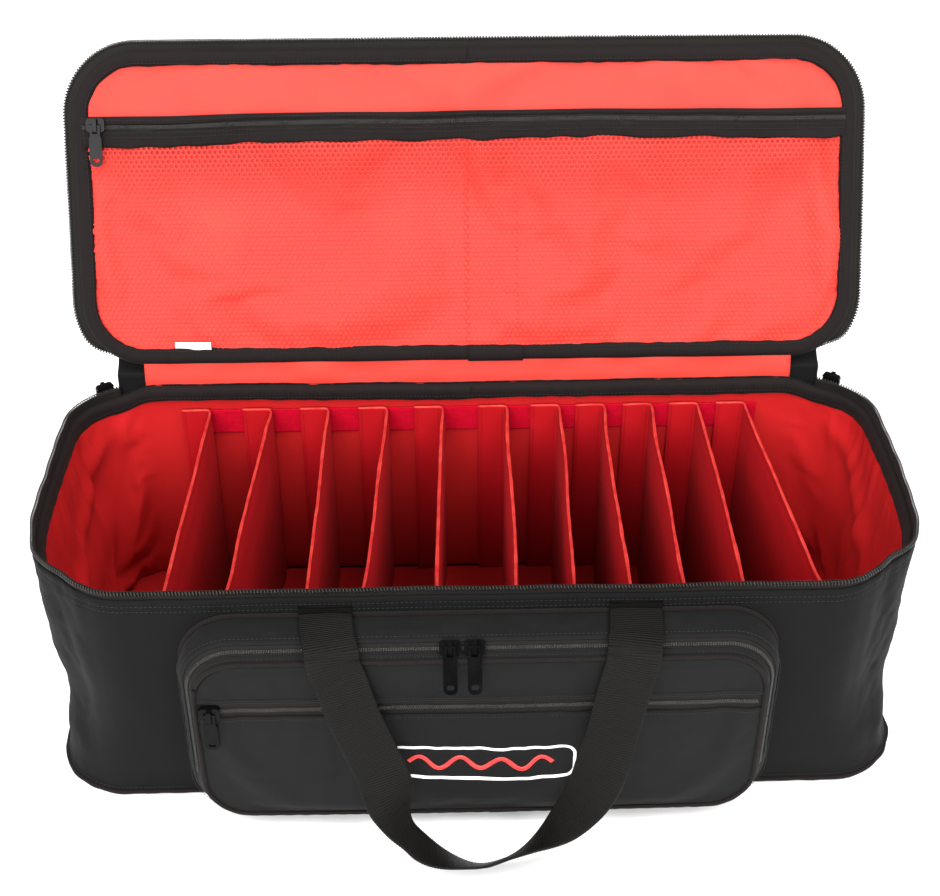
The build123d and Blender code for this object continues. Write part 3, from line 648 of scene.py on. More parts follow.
def rim_rise(x, y):
    """How much the rim stands higher or lower than level; still where the sliders are parked."""
    quiet = 1 - hump(np.abs(x), 303, 28) * smooth(y, 80, 115)
    back = 7.2 * smooth(y, 92, 128) * (1 - smooth(np.abs(x), 262, 296))
    return 0.9 * rim1(x, y) * quiet + back


def wall_rise(x, y, z):
    """The rim's rise, which fades out down the wall."""
    return rim_rise(x, y) * smooth(z, 120, RIM_Z)


def frame_push(x, y, z):
    """Outward swell of the whole wall, felt by cloth, foam, lining and rim alike."""
    end = smooth(np.abs(x), 268, 322)
    side = np.clip(1 - (y / 134) ** 2, 0, 1)
    bow = np.where(x < 0, 4.0, 4.5) * end * side * np.clip(z / 190, 0, 1.2) ** 1.4
    pinch = -2.4 * hump(z, 17, 12) * (0.35 + 0.65 * end)
    near = np.hypot(np.abs(x) - 311.9, y + 117.9)
    drawn = (-np.where(x < 0, 16.0, 18.0) * np.exp(-((near / 43.0) ** 2)) * smooth(np.abs(x), 250, 284)
        * smooth(z, 4, 95))
    calm = (1 - smooth(z, 150, 196) * 0.75) * (0.25 + 0.75 * end)
    waist = -5.0 * hump(z, 54, 34) * end - np.where(x < 0, 3.5, 0.0) * end * (1 - smooth(z, 60, 150))
    return bow + pinch + drawn + waist + 1.2 * soft1(x, y, z) * calm


wall_P, wall_N, wall_s = ring(HALF_X, HALF_Y, CORNER, 4.0)
zz = np.concatenate([np.linspace(1.0, 10, 7), np.linspace(13, 181, 58), np.linspace(183, 194, 8)])
X, Y = wall_P[:, :1], wall_P[:, 1:]
Zg = np.broadcast_to(zz[None], (len(wall_P), len(zz)))
end_w = smooth(np.abs(X), 262, 320)
pocket_w = smooth(-Y, 120, 130) * (1 - smooth(np.abs(X), 215, 240))
crease = 0.9 * np.abs(soft2(X, Y, Zg * 0.8)) ** 1.3 + 0.28 * soft3(X, Y, Zg * 1.3)
corner_fold = 1.6 * hump((Zg - 20 - 0.55 * np.abs(np.abs(X) - 300)), 30, 16) * end_w
top_pucker = 0.35 * np.sin(wall_s[:, None] / 2.9 + 2.2 * rim1(X * 2.3, Y * 2.0)) * smooth(Zg, 168, 189)
wr = ((crease * (0.35 + 0.9 * end_w) - corner_fold * 0.5) * (1 - 0.85 * pocket_w)
    * (1 - 0.7 * smooth(Zg, 180, 192)) + top_pucker * (1 - pocket_w))
seam_dent = -0.5 * (hump(Zg, RIM_SEAMS[0], 0.9) + hump(Zg, RIM_SEAMS[1], 0.9))
push = frame_push(X, Y, Zg)
roll = -1.2 * smooth(Zg, 190, 194) ** 2
foot = 1.0 * hump(Zg, 3.0, 3.2)
off = push + wr + seam_dent + roll + foot
zrise = wall_rise(X, Y, Zg)
outer = off_line(wall_P[:, None], wall_N[:, None], off, Zg + zrise)
body_cloth = build("body_cloth", [slab(outer, 1.0, True)], BLACK, "bag")
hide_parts("wall_fabric")


def on_wall(z, extra):
    """A line round the outer cloth at height z, and its normals."""
    k = int(np.argmin(np.abs(zz - z)))
    n = np.concatenate([wall_N, np.zeros((len(wall_N), 1))], 1)
    return off_line(wall_P, wall_N, off[:, k] + extra, z + zrise[:, k]), n


# double line of stitches under the rim, and one above the base seam
rows = []
for z in RIM_SEAMS:
    p, n = on_wall(z, 0.1)
    rows += closed_stitches(p, n, 3.4, 2.5, 0.36)
p, n = on_wall(BASE_SEAM, 0.1)
rows += closed_stitches(p, n, 3.6, 2.6, 0.36)
build("body_stitches", rows, THREAD, "bag")

# wall pad between cloth and lining
pz = np.linspace(3, 188, 22)
Pc, Nc, _ = ring(HALF_X, HALF_Y, CORNER, 12.0)
Xc, Yc = Pc[:, :1], Pc[:, 1:]
Zc = np.broadcast_to(pz[None], (len(Pc), len(pz)))
oc = frame_push(Xc, Yc, Zc) - 2.1
pad_out = off_line(Pc[:, None], Nc[:, None], oc, Zc)
wall_pad = build("wall_pad", [slab(pad_out, 3.4, True)], FOAM, "bag")
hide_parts("wall_foam")

# base: cloth, board and a bound seam round its edge
bx, by = panel(HALF_X - 1.2, HALF_Y - 1.2, CORNER - 1.2, 150, 60)
bz = (0.15 + 0.55 * (0.5 + 0.5 * soft1(bx, by)) * smooth(HALF_Y - np.abs(by), 0, 12)
    * smooth(HALF_X - np.abs(bx), 0, 12))
base_cloth = build("base_cloth", [slab(np.stack([bx, by, bz], -1), CLOTH_THICK)], BLACK, "bag")
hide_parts("base_fabric")
base_line = np.stack([outer[:, 0, 0] + wall_N[:, 0] * 0.5, outer[:, 0, 1] + wall_N[:, 1] * 0.5,
    np.full(len(wall_P), 2.1)], 1)
build("base_piping", tube_parts(base_line, 1.75 + 0.12 * np.sin(wall_s * 1.3), 10), BIND, "bag")
cx, cy = panel(HALF_X - 8.5, HALF_Y - 8.5, CORNER - 8.5, 60, 26)
base_card = build("base_card", [slab(np.stack([cx, cy, np.full(cx.shape, 4.0)], -1), 2.4, flip=True)], BOARD,
    "bag")
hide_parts("base_board")
lx, ly = panel(HALF_X - 7.6, HALF_Y - 7.6, CORNER - 7.6, 190, 80)
lz = 5.0 + (0.6 + 0.8 * soft2(lx, ly)) * smooth(HALF_Y - 8 - np.abs(ly), 4, 40) * smooth(np.abs(lx), 225, 280)
floor_lining = build("floor_lining", [slab(np.stack([lx, ly, lz], -1), LINING_THICK, flip=True)], INNER,
    "bag")
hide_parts("base_lining")

# lining of the wall: spare cloth at both ends settles into folds
LIN_ROWS = 38
lp, ln, _ = ring(HALF_X, HALF_Y, CORNER, 5.0)
lzz = np.linspace(5.2, RIM_Z, LIN_ROWS)
XL, YL = lp[:, :1], lp[:, 1:]
ZL = np.broadcast_to(lzz[None], (len(lp), LIN_ROWS))
lin_push = frame_push(XL, YL, ZL)
ends = smooth(np.abs(XL), 262, 296)
start_in = 6.0 + ends * (1.0 + 1.6 * np.abs(soft2(XL * 0.9, YL * 0.9, ZL * 0.5))) * smooth(RIM_Z - ZL, 0, 14)
lo = lin_push - start_in
lp, ln = lp[:, None], ln[:, None]
rest = off_line(lp, ln, lo, ZL + wall_rise(XL, YL, ZL))
pin = np.maximum(1 - ends, np.maximum((ZL >= 180), (ZL <= 6)).astype(float))
pin = np.where(pin > 0.97, 1.0, pin * 0.35)
pin = np.broadcast_to(pin, ZL.shape)
settled = settle(rest, quads(len(lp), LIN_ROWS, True), pin, -0.055, 0.0, 0.6, 26, bend=0.35)
delta = settled - off_line(lp, ln, lin_push - 6.0, rest[..., 2])
inward = -(delta[..., 0] * ln[..., 0] + delta[..., 1] * ln[..., 1])
inward = np.clip(inward, 0.0, 17.0) * ends + np.clip(inward, 0, 0.25) * (1 - ends)
extra = (ends * (2.6 * hump(ZL - 60 - 0.25 * YL, 0, 26) * smooth(np.abs(XL), 300, 322)
    + 1.8 * np.abs(soft2(XL * 1.2, YL * 0.7, ZL * 0.6)) ** 1.5 * smooth(188 - ZL, 0, 20)))
extra = (extra + smooth(np.abs(XL), 298, 320) * (5.0 * hump(ZL - 96 - 0.55 * YL, 0, 13)
    + 4.0 * hump(ZL - 66 + 0.6 * YL, 0, 10)) * smooth(180 - ZL, 0, 24))
inward = relax(inward + extra, 1, True)
along = np.clip(delta[..., 2], -3, 3) * ends
lining_off = lin_push - 6.0 - inward
lining = off_line(lp, ln, lining_off, rest[..., 2] + along * smooth(ZL, 6, 20) * (1 - smooth(ZL, 176, 186)))
lining = refine(lining, 1, True)
lining_cloth = build("wall_lining_cloth", [slab(lining, LINING_THICK, True, flip=True)], INNER, "bag")
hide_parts("wall_lining")

# ---- rim: bound edge, tape and open coil ----------------------------------------------------

rp, rn, rs = ring(HALF_X, HALF_Y, CORNER, 2.4)
rx, ry = rp[:, 0], rp[:, 1]
rim_push = frame_push(rx, ry, np.full(len(rx), RIM_Z))
rim_z = rim_rise(rx, ry)
N3 = np.concatenate([rn, np.zeros((len(rn), 1))], 1)
Z3 = every((0, 0, 1), N3)


def rim_line(inset, z):
    return off_line(rp, rn, rim_push - inset, z + rim_z)


pucker = 0.5 * np.sin(rs / 3.1 + 2.5 * rim1(rx * 2, ry * 2)) * (0.6 + 0.4 * rim1(rx * 5, ry * 5))
lip_wave = 0.9 * rim1(rx * 3.0, ry * 3.0)
prof = np.array([(-8.4, 181.0), (-9.1, 183.0), (-8.9, 187.5), (-8.3, 190.6), (-6.8, 192.5), (-4.6, 193.2),
    (-2.6, 193.1), (-1.2, 192.2), (-1.4, 191.0), (-3.0, 191.4), (-4.8, 191.6), (-6.3, 190.8), (-7.1, 189.2),
    (-7.6, 186.5), (-7.8, 183.6), (-7.6, 181.2)])
prof = np.broadcast_to(prof, (len(rx),) + prof.shape).copy()
prof[:, :4, 0] -= pucker[:, None] * np.array([0.8, 1.0, 0.7, 0.3])
prof[:, :2, 1] += lip_wave[:, None] * 0.8
prof[:, 15, 1] += lip_wave * 0.8
prof[:, 5:7, 1] += 0.25 * pucker[:, None]
P0 = rim_line(0.0, 0.0)
rim_bound = build("rim_bound_edge", sweep(P0, (N3, Z3), prof, True), BIND, "bag")
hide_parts("rim_binding")
p = rim_line(9.05, 184.6) - N3 * pucker[:, None] * 0.9
build("rim_stitches", closed_stitches(p, -N3, 3.2, 2.4, 0.34, 0.2), THREAD, "bag")

flutter = 0.55 * rim1(rx * 3.6, ry * 3.6)
open_part = ~((ry > 100) & (np.abs(rx) < ZIP_END_X))
start = int(np.nonzero(open_part)[0][0])
stop = int(np.nonzero(open_part)[0][-1]) + 1
tz = np.array([190.8, 193.5, 196.0, 198.4, 200.8])
tape_grid = np.stack([off_line(rp, rn, rim_push - 2.0 + flutter * f, rim_z + z)
    for z, f in zip(tz, (0, 0.1, 0.4, 0.8, 1.0))], 1)
rim_tape = build("rim_tape", [slab(tape_grid[start:stop], CLOTH_THICK)], TAPE, "bag")
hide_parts("rim_zipper_tape")
cline = off_line(rp, rn, rim_push - 0.9 + flutter, rim_z + 199.9)[start:stop]
coil_a = build("rim_coil", coil_parts(cline, Z3[start:stop], N3[start:stop], RIM_PITCH, 1.6, 1.0, RIM_WIRE),
    COIL, "bag")
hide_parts("rim_zipper_coil")

# ---- lid ------------------------------------------------------------------------------------

SL, CL = math.sin(LEAN), math.cos(LEAN)
LID_UP = np.array([0, SL, CL])
LID_IN = np.array([0, -CL, SL])
lid1 = waves(21, 10, 180, 520)
lid2 = waves(22, 14, 45, 130)
lid3 = waves(23, 16, 14, 40)


def lid_warp(x, u):
    """The whole lid isn't quite flat: its free corners fall back a little."""
    free = smooth(u, 30, 250)
    return free * (1.6 * lid1(x, u) - 1.5 * (np.abs(x) / 317.0) ** 3)


def on_lid(x, u, w):
    x, u, w = np.broadcast_arrays(np.asarray(x, float), np.asarray(u, float), np.asarray(w, float))
    w = w + lid_warp(x, u)
    return np.stack([x, HINGE_Y + u * SL - w * CL, HINGE_Z + u * CL + w * SL], -1)


LID_EDGE = (LID_HALF - 1.2, LID_RISE - 1.2, LID_CORNER - 1.2)
px, py = panel(*LID_EDGE, 160, 58)
pu = py + LID_MID
rim_d = edge_gap(px, py, *LID_EDGE)
flat0 = np.stack([px, pu, np.zeros(px.shape) + 0.8 * lid2(px, pu) * smooth(rim_d, 2, 30)], -1)
pinl = np.where(rim_d < 7.5, 1.0, 0.0)
out = settle(flat0, quads(*px.shape), pinl, -0.012, 0.35, 0.0, 18, bend=0.6)
lw = np.clip(out[..., 2], -1.5, 6.5)
lw = relax(lw, 2)
lw = lw + 0.35 * lid3(px, pu) * smooth(rim_d, 3, 12) * (1 - smooth(rim_d, 14, 40))
band_flat = 1 - 0.55 * hump(pu, 200, 13)
lw = lw * band_flat


def lid_face(x, u):
    """Height of the lid's lining over its plane at (x, u)."""
    half = row_half(np.asarray(u) - LID_MID, *LID_EDGE)
    return look_up(lw, np.interp(u, pu[:, 0], np.arange(len(pu))),
        (np.asarray(x) / half + 1) / 2 * (px.shape[1] - 1))


lin_pts = refine(np.stack([px, pu, LID_SKIN + lw], -1), 1)
lid_lining = build("lid_lining_cloth", [slab(on_lid(*np.moveaxis(lin_pts, -1, 0)), LINING_THICK, flip=True)],
    RED, "lid")
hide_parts("lid_lining")

back_edge = (LID_HALF - 0.8, LID_RISE - 0.8, LID_CORNER - 0.8)
bx2, by2 = panel(*back_edge, 130, 48)
bd = edge_gap(bx2, by2, *back_edge)
bu2 = by2 + LID_MID
bw = (-6.0 - 2.6 * smooth(bd, 2, 55) - 0.9 * lid2(bx2 + 90, bu2) * smooth(bd, 4, 30)
    - 0.5 * np.abs(lid3(bx2, bu2)) * smooth(bd, 3, 10) * (1 - smooth(bd, 12, 50))
    + 2.6 * (1 - smooth(bd, 0, 6)))
lid_cloth = build("lid_cloth", [slab(on_lid(bx2, bu2, bw), CLOTH_THICK)], BLACK, "lid")
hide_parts("lid_fabric")

pad_edge = (LID_HALF - 3.5, LID_RISE - 3.5, LID_CORNER - 3.5)
qx, qy = panel(*pad_edge, 60, 22)
qu = qy + LID_MID
qd = edge_gap(qx, qy, *pad_edge)
top_w = 2.2 + np.clip(lid_face(qx * 0.99, qu), -1.0, 5.0) - 0.5
low_w = -4.6 - 1.2 * smooth(qd, 4, 50)
lid_pad = build("lid_pad", [slab(on_lid(qx, qu, top_w), top_w - low_w, flip=True)], FOAM, "lid")
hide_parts("lid_foam")

# binding round the lid
ep, en, es = ring(LID_HALF, LID_RISE, LID_CORNER, 2.4)
ex, eu = ep[:, 0], ep[:, 1] + LID_MID


def lid_ring(out, w):
    """Points round the lid's edge at an outward offset and height."""
    x, u = ex + en[:, 0] * out, eu + en[:, 1] * out
    return on_lid(x, u, w)


E3 = np.stack([en[:, 0], en[:, 1] * SL, en[:, 1] * CL], 1)
W3 = every(LID_IN, E3)
e_pucker = 0.45 * np.sin(es / 3.0 + 2.3 * lid2(ex * 2, eu * 2)) * (0.6 + 0.4 * lid3(ex, eu))
e_wave = 0.8 * lid2(ex * 1.4, eu * 1.4)
prof = np.array([(-10.4, 4.4), (-10.9, 5.1), (-8.5, 6.2), (-4.5, 6.6), (-1.0, 6.2), (1.2, 4.8), (2.3, 2.6),
    (2.5, 0.4), (1.9, -0.5), (2.5, -1.5), (2.3, -3.8), (1.2, -6.0), (-1.0, -7.4), (-4.5, -7.9), (-9.0, -8.1),
    (-9.4, -7.3), (-9.0, -6.7), (-4.5, -6.8), (-1.6, -6.1), (0.2, -4.2), (0.6, -1.0), (0.4, 1.8), (-0.6, 3.7),
    (-3.4, 4.6), (-7.0, 4.4), (-10.0, 3.9)])
prof = np.broadcast_to(prof, (len(ex),) + prof.shape).copy()
prof[:, :2, 0] += (e_wave + e_pucker * 0.8)[:, None]
prof[:, 25, 0] += e_wave + e_pucker * 0.8
prof[:, 1:4, 1] += e_pucker[:, None] * np.array([0.7, 0.9, 0.5])
prof[:, 12:15, 1] -= e_pucker[:, None] * np.array([0.4, 0.8, 0.7])
lid_bound = build("lid_bound_edge", sweep(lid_ring(0, 0), (E3, W3), prof, True), BIND, "lid")
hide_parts("lid_binding")
rise = W3 * (e_pucker * 0.8)[:, None]
rows = closed_stitches(lid_ring(-8.7, 6.35) + rise, W3, *EDGE_SEAM)
rows += closed_stitches(lid_ring(-7.4, -8.1) - rise, -W3, *EDGE_SEAM)
build("lid_stitches", rows, THREAD, "lid")
# the binding's two ends overlap at the middle of the hinge side
pick = (np.abs(ex - 21) < 24) & (eu < 60)
lap = prof[pick][:, :9].copy()
lap_in = lap.copy()
lap[:, :, 1] += 0.9
lap[:, 5:, 0] += 0.8
lap_full = np.concatenate([lap, lap_in[:, ::-1] + np.array([0.0, 0.15])], 1)
build("lid_binding_end", sweep(lid_ring(0, 0)[pick], (E3[pick], W3[pick]), lap_full), BIND, "lid")

lopen = ~((eu < 60) & (np.abs(ex) < ZIP_END_X))
roll_by = 0
if lopen[0]:
    gap = np.nonzero(~lopen)[0]
    roll_by = int(gap[-1]) + 1


def lid_zip(a):
    """The part of a lid ring that carries the zip."""
    return np.roll(a, -roll_by, 0)[: int(lopen.sum())]


lflut = 0.7 * lid2(ex * 1.3, eu * 1.3) + 0.4 * lid3(ex, eu)
# at its two ends, beside the hinge, the tape tucks in under the binding
tuck = 1 - 0.9 * smooth(100 - eu, 62, 85) * smooth(-np.abs(ex), -316, -296)
ts = [(0.6, 0.0), (3.0, 0.1), (5.5, 0.5), (8.0, 0.9), (9.4, 1.0)]
tgrid = np.stack([lid_ring(o * tuck, -0.6 + lflut * f) for o, f in ts], 1)
lid_tape = build("lid_tape", [slab(lid_zip(tgrid), CLOTH_THICK)], TAPE, "lid")
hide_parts("lid_zipper_tape")
lc = lid_ring(9.1 * tuck, -0.1 + lflut)
coil_b = build("lid_coil", coil_parts(lid_zip(lc), lid_zip(E3), lid_zip(W3), RIM_PITCH, 1.5, 1.3, RIM_WIRE),
    COIL, "lid")
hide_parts("lid_zipper_coil")

# net pocket: hexagonal mesh, its zip band above it
CELL = 4.26
NET_TOP = 196.6


def net_w(x, u):
    lift = 2.6 * smooth(u, 120, 188) ** 1.5 * (1 - smooth(np.abs(x), 250, 312) * 0.6) + 0.25
    return (LID_SKIN + lid_face(x, u) + lift + 0.5 * smooth(u, 60, 160) * (1 - smooth(u, 172, 188))
        * lid2(x * 0.8 + 33, u * 0.8))


cols = np.arange(-75, 76)
rows_n = np.arange(0, 53)
ci, ri = np.meshgrid(cols, rows_n, indexing="ij")
cxn = (ci + 0.5 * (ri % 2)) * CELL
cun = 13.0 + ri * CELL * math.sqrt(3) / 2
half_n = row_half(np.clip(cun - LID_MID, -LID_RISE, LID_RISE), LID_HALF - 6, LID_RISE - 4, LID_CORNER - 4)
ok = (np.abs(cxn) < half_n - 1.5) & (cun < NET_TOP) & (cun > 15.5)
cxn, cun = cxn[ok], cun[ok]
hexa = np.radians(np.arange(6) * 60 + 30)
Ro = CELL / math.sqrt(3)


def net_part(sel):
    cx_, cu_ = cxn[sel], cun[sel]
    n = len(cx_)
    outer_xy = np.stack([cx_[:, None] + Ro * np.cos(hexa), cu_[:, None] + Ro * np.sin(hexa)], -1)
    keys = np.round(outer_xy.reshape(-1, 2) * 50).astype(int)
    # neighbouring cells share the corners of their outline
    q = np.stack([np.floor_divide(keys[:, 0] + 8, 16), np.floor_divide(keys[:, 1] + 8, 16)], 1)
    _, idx, inv = np.unique(q, axis=0, return_index=True, return_inverse=True)
    inv = inv.ravel()
    corner_xy = outer_xy.reshape(-1, 2)[idx]
    ri_ = Ro * 0.66
    inner_xy = np.stack([cx_[:, None] + ri_ * np.cos(hexa), cu_[:, None] + ri_ * np.sin(hexa)],
        -1).reshape(-1, 2)
    m = len(corner_xy)
    V = np.concatenate([on_lid(xy[:, 0], xy[:, 1], net_w(xy[:, 0], xy[:, 1]) + high)
        for xy, high in ((corner_xy, 0.32), (inner_xy, 0.12), (inner_xy, -0.28))])
    o = inv.reshape(n, 6)
    i = m + np.arange(n * 6).reshape(n, 6)
    l = i + n * 6
    o2, i2, l2 = np.roll(o, -1, 1), np.roll(i, -1, 1), np.roll(l, -1, 1)
    F = np.concatenate([np.stack([o, o2, i2, i], -1).reshape(-1, 4),
        np.stack([i, i2, l2, l], -1).reshape(-1, 4), np.stack([l, l2, o2, o], -1).reshape(-1, 4)])
    UV = np.concatenate([corner_xy, inner_xy, inner_xy])
    return V, F, UV


for label, sel in (("left", cxn < -0.1), ("right", cxn >= -0.1)):
    net = build(f"net_{label}", [net_part(sel)], NET, "lid")
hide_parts("mesh_pocket")

# zip band of the net: two folded edges of tape with the chain between
band_x = np.arange(-311, 311.1, 2.5)
sag = 1.1 * lid2(band_x * 0.7, 400) + np.interp(band_x, [-311, -60, 120, 311], [-2.2, 0.4, 1.2, 0.6])


def band_piece(name, u0, u1, wv, thick, material, levels=7, ripple=0.0):
    uu = np.linspace(0, 1, levels)
    g = []
    for k in uu:
        low_edge = 1 - k
        u = (u0 + (u1 - u0) * k + sag * (0.5 + 0.6 * low_edge)
            + ripple * low_edge ** 2 * lid3(band_x * 0.8, 10))
        w = (LID_SKIN + lid_face(band_x * 0.985, np.clip(u, 20, 250)) + wv + 2.4 + 0.5 * math.sin(k * math.pi)
            + 0.25 * lid3(band_x, u * 0 + 40 * k))
        g.append(on_lid(band_x, u, w))
    return build(name, [slab(np.stack(g, 1), thick)], material, "lid")


band = band_piece("net_band_tape", 191.0, 210.5, 0.9, 0.7, TAPE, 9, 0.6)
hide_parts("mesh_zip_tape")
lowhem = band_piece("net_band_hem", 189.8, 202.4, 1.5, 0.8, BIND, 7, 0.9)
uphem = band_piece("net_band_top_hem", 208.0, 213.2, 1.4, 0.7, BIND, 5, 0.0)
bc_u = 205.2 + sag * 0.75
bc_w = LID_SKIN + lid_face(band_x * 0.985, bc_u) + 0.9 + 2.4 + 0.9
chain = on_lid(band_x, bc_u, bc_w)
Au, Aw = every(LID_UP, chain), every(LID_IN, chain)
nc = build("net_coil", chain_parts(chain, Au, Aw, 0.75, NET_PITCH, 0.8, 0.6, 0.3), CHAIN, "lid")
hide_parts("mesh_zip_coil")
rows = []
for u_off, wv in ((197.0, 2.75), (200.6, 2.75), (210.6, 2.5)):
    u = u_off + sag * 0.8
    w = LID_SKIN + lid_face(band_x * 0.985, u) + wv + 2.05
    rows += stitch_parts(on_lid(band_x, u, w), Aw, 3.2, 2.4, 0.3, 0.1)
build("net_band_stitches", rows, THREAD, "lid")

# blank label
label_x, label_u = np.meshgrid(np.linspace(-244, -214, 26), np.linspace(18.0, 28.1, 12), indexing="xy")
label_w = LID_SKIN + lid_face(label_x, label_u) + 1.6 + 0.9 * smooth(label_u, 19, 28)
label_w = label_w + 0.5 * np.sin((label_x + 230) / 9.0) * smooth(label_u, 20, 28)
label = build("label", [slab(on_lid(label_x, label_u, label_w), 0.45, flip=True)], LABEL, "lid")
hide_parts("care_label")

# ---- hinge strips, curved from the back wall onto the lid ------------------------------------


def strip(name, half, points, thick, material, seed, ruck, step=3.0):
    line = curve(points, 1.1)
    xs = np.arange(-half, half + 0.1, step)
    f = waves(seed, 14, 22, 90)
    g = np.repeat(line[None], len(xs), 0)[:, :, [0, 0, 1]]
    g[..., 0] = xs[:, None]
    g[..., 1] = line[None, :, 0]
    g[..., 2] = line[None, :, 1]
    t = np.linspace(0, 1, len(line))
    free = np.sin(np.pi * np.clip(t, 0, 1)) ** 1.2
    g[..., 1] += free[None] * ruck * (f(xs[:, None], t[None] * 18) - 0.2)
    return build(name, [slab(g, thick)], material, None)


def lid_yz(u, w):
    return HINGE_Y + u * SL - w * CL, HINGE_Z + u * CL + w * SL


hs = strip("hinge_cloth", 294.0, [(134.9, 181.0), (135.1, 188), (135.3, 196), (135.9, 203), lid_yz(0.5, -0.9),
    lid_yz(3.5, -2.6), lid_yz(7.5, -6.2), lid_yz(13, -8.8), lid_yz(20, -9.4), lid_yz(27, -9.6)], CLOTH_THICK,
    BLACK, 31, 0.5)
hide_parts("hinge_outer_lower", "hinge_outer_upper")
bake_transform(hs)
hl = strip("hinge_lining_cloth", 270.5, [(132.6, 195.0), (132.9, 198.0), (133.2, 201.5), (133.7, 205.6),
    lid_yz(1.5, 1.4), lid_yz(6, 2.4), lid_yz(10.5, 3.6), lid_yz(14, 4.2)], LINING_THICK, RED,
    32, 1.5)
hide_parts("hinge_lining_lower", "hinge_lining_upper")
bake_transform(hl)

# ---- front pocket ----------------------------------------------------------------------------

pk1 = waves(41, 12, 60, 200)
pk2 = waves(42, 16, 18, 55)
pk3 = waves(43, 16, 7, 20)
gp, gn, gs = ring(213.0, 83.0, 38.0, 2.6)
g_mid = gp - gn * 38.0


def sag_of(x, z):
    """How far the pocket's lower part hangs below its sewn shape."""
    return 7.0 * smooth(POCKET_Z - z, 15, 84) * (1 - 0.3 * (x / 215.0) ** 2)


def pocket_at(inset, y, sel=slice(None)):
    """Round the pocket at an inset from its root outline, at depth y."""
    k = np.asarray(inset, float) / 11.0
    r = 38.0 - 5.5 * k
    x = g_mid[sel, 0] * (1 - k * 5.5 / 175.0) + gn[sel, 0] * r
    z = POCKET_Z + g_mid[sel, 1] * (1 - k * 5.5 / 45.0) + gn[sel, 1] * r
    depth = smooth(-(np.asarray(y, float) + 134), 0, 30)
    return np.stack([x, np.broadcast_to(np.asarray(y, float), x.shape), z - depth * sag_of(x, z)], -1)


G3 = np.stack([gn[:, 0], np.zeros(len(gn)), gn[:, 1]], 1)
gx, gz = gp[:, 0], gp[:, 1] + POCKET_Z
side_swell = 1.8 * smooth(np.abs(gn[:, 0]), 0.3, 1.0) + 0.2 * smooth(-gn[:, 1], 0.3, 1.0) + 0.3
levels = [(-0.4, -133.4, 0.0), (0.2, -136.5, 0.3), (0.0, -141.0, 0.9), (0.0, -146.0, 1.0), (0.1, -151.0, 0.9),
    (0.3, -155.0, 0.6), (0.7, -158.0, 0.3), (1.5, -160.2, 0.1), (2.4, -161.2, 0.0)]
fine_l = np.linspace(0, len(levels) - 1, 25)
lev = np.stack([np.interp(fine_l, np.arange(len(levels)), [l[k] for l in levels]) for k in range(3)], 1)
ring_rows = []
for ins, y, free in lev:
    base = pocket_at(ins, y)
    bump_ = (free * (side_swell + 0.7 * pk1(gx, y * 2, gz) + 0.55 * np.abs(pk2(gx, y, gz)) ** 1.4)
        + 0.25 * pk3(gx, y, gz) * free)
    ring_rows.append(base + G3 * bump_[:, None])
gusset = build("pocket_gusset_cloth", [slab(np.stack(ring_rows, 1), 1.1, True)], POCKET, "bag")
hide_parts("pocket_gusset_rear")
# turned edge sewn to the wall
hem = np.stack([pocket_at(-0.4, -133.6) + G3 * o + np.array([0, d, 0])
    for o, d in ((-0.6, -1.9), (0.4, -2.3), (1.3, -1.9), (2.6, -1.5), (3.4, -1.2))], 1)
hem_piece = build("pocket_root_hem", [slab(hem, CLOTH_THICK, True)], BIND, "bag")
row = pocket_at(-0.4, -133.6) + G3 * 2.2 + np.array([0, -1.7, 0])
Yf = every((0, -1, 0), G3)
rows = closed_stitches(row, Yf, *FINE_SEAM)

above = gz > 50.0
split = int(np.nonzero(~above)[0][-1]) + 1


def upper_part(a):
    """The pocket ring's upper part, which carries the zip."""
    return np.roll(a, -split, 0)[: int(above.sum())]


def lower_part(a):
    """The pocket ring's lower part, with a little overlap."""
    return np.roll(a, -int(np.nonzero(~above)[0][0]) + 4, 0)[: int((~above).sum()) + 8]


tape_l = [(0.9, -158.6), (2.6, -161.0), (4.6, -163.2), (6.2, -165.2), (7.9, -167.2), (9.6, -169.2),
    (10.4, -170.4)]
tg = np.stack([pocket_at(i, y) - G3 * 0.5 for i, y in tape_l], 1)
ptape = build("pocket_tape", [slab(upper_part(tg), 0.8)], TAPE, "bag")
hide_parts("pocket_zipper_tape")
lowg = np.stack([pocket_at(i, y) + G3 * (0.25 * np.abs(pk2(gx, y, gz)))[:, None]
    for i, y in [(0.6, -157.8)] + tape_l], 1)
plow = build("pocket_gusset_low", [slab(lower_part(lowg), CLOTH_THICK)], POCKET, "bag")
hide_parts("pocket_gusset_front")
fb = np.stack([pocket_at(i, y) + G3 * o for i, y, o in ((7.4, -166.6, 0.2), (8.0, -167.2, 0.75),
    (9.0, -168.6, 0.8), (10.2, -170.0, 0.8), (11.2, -171.4, 0.9), (12.6, PANEL_Y, 0.4))], 1)
fband = build("pocket_front_band", [slab(fb, 0.8, True)], POCKET, "bag")
for ins, y in ((-0.1, -158.6), (9.4, -169.2)):
    row = pocket_at(ins, y) + G3 * (0.95 if y > -160 else 0.9)
    nn = unit(G3 * 0.76 + Yf * 0.65)
    rows += closed_stitches(row, nn, *FINE_SEAM)
build("pocket_stitches", rows, THREAD, "bag")

mid = pocket_at(5.5, -164.4)
nn = unit(G3 * 0.763 + Yf * 0.646)
across = unit(G3 * -0.646 + Yf * 0.763)
cl = upper_part(mid + nn * 0.35)
pc = build("pocket_coil", chain_parts(cl, upper_part(across), upper_part(nn), 0.62, POCKET_PITCH, 0.75, 0.55,
    0.33), CHAIN, "bag")
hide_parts("pocket_zipper_coil")

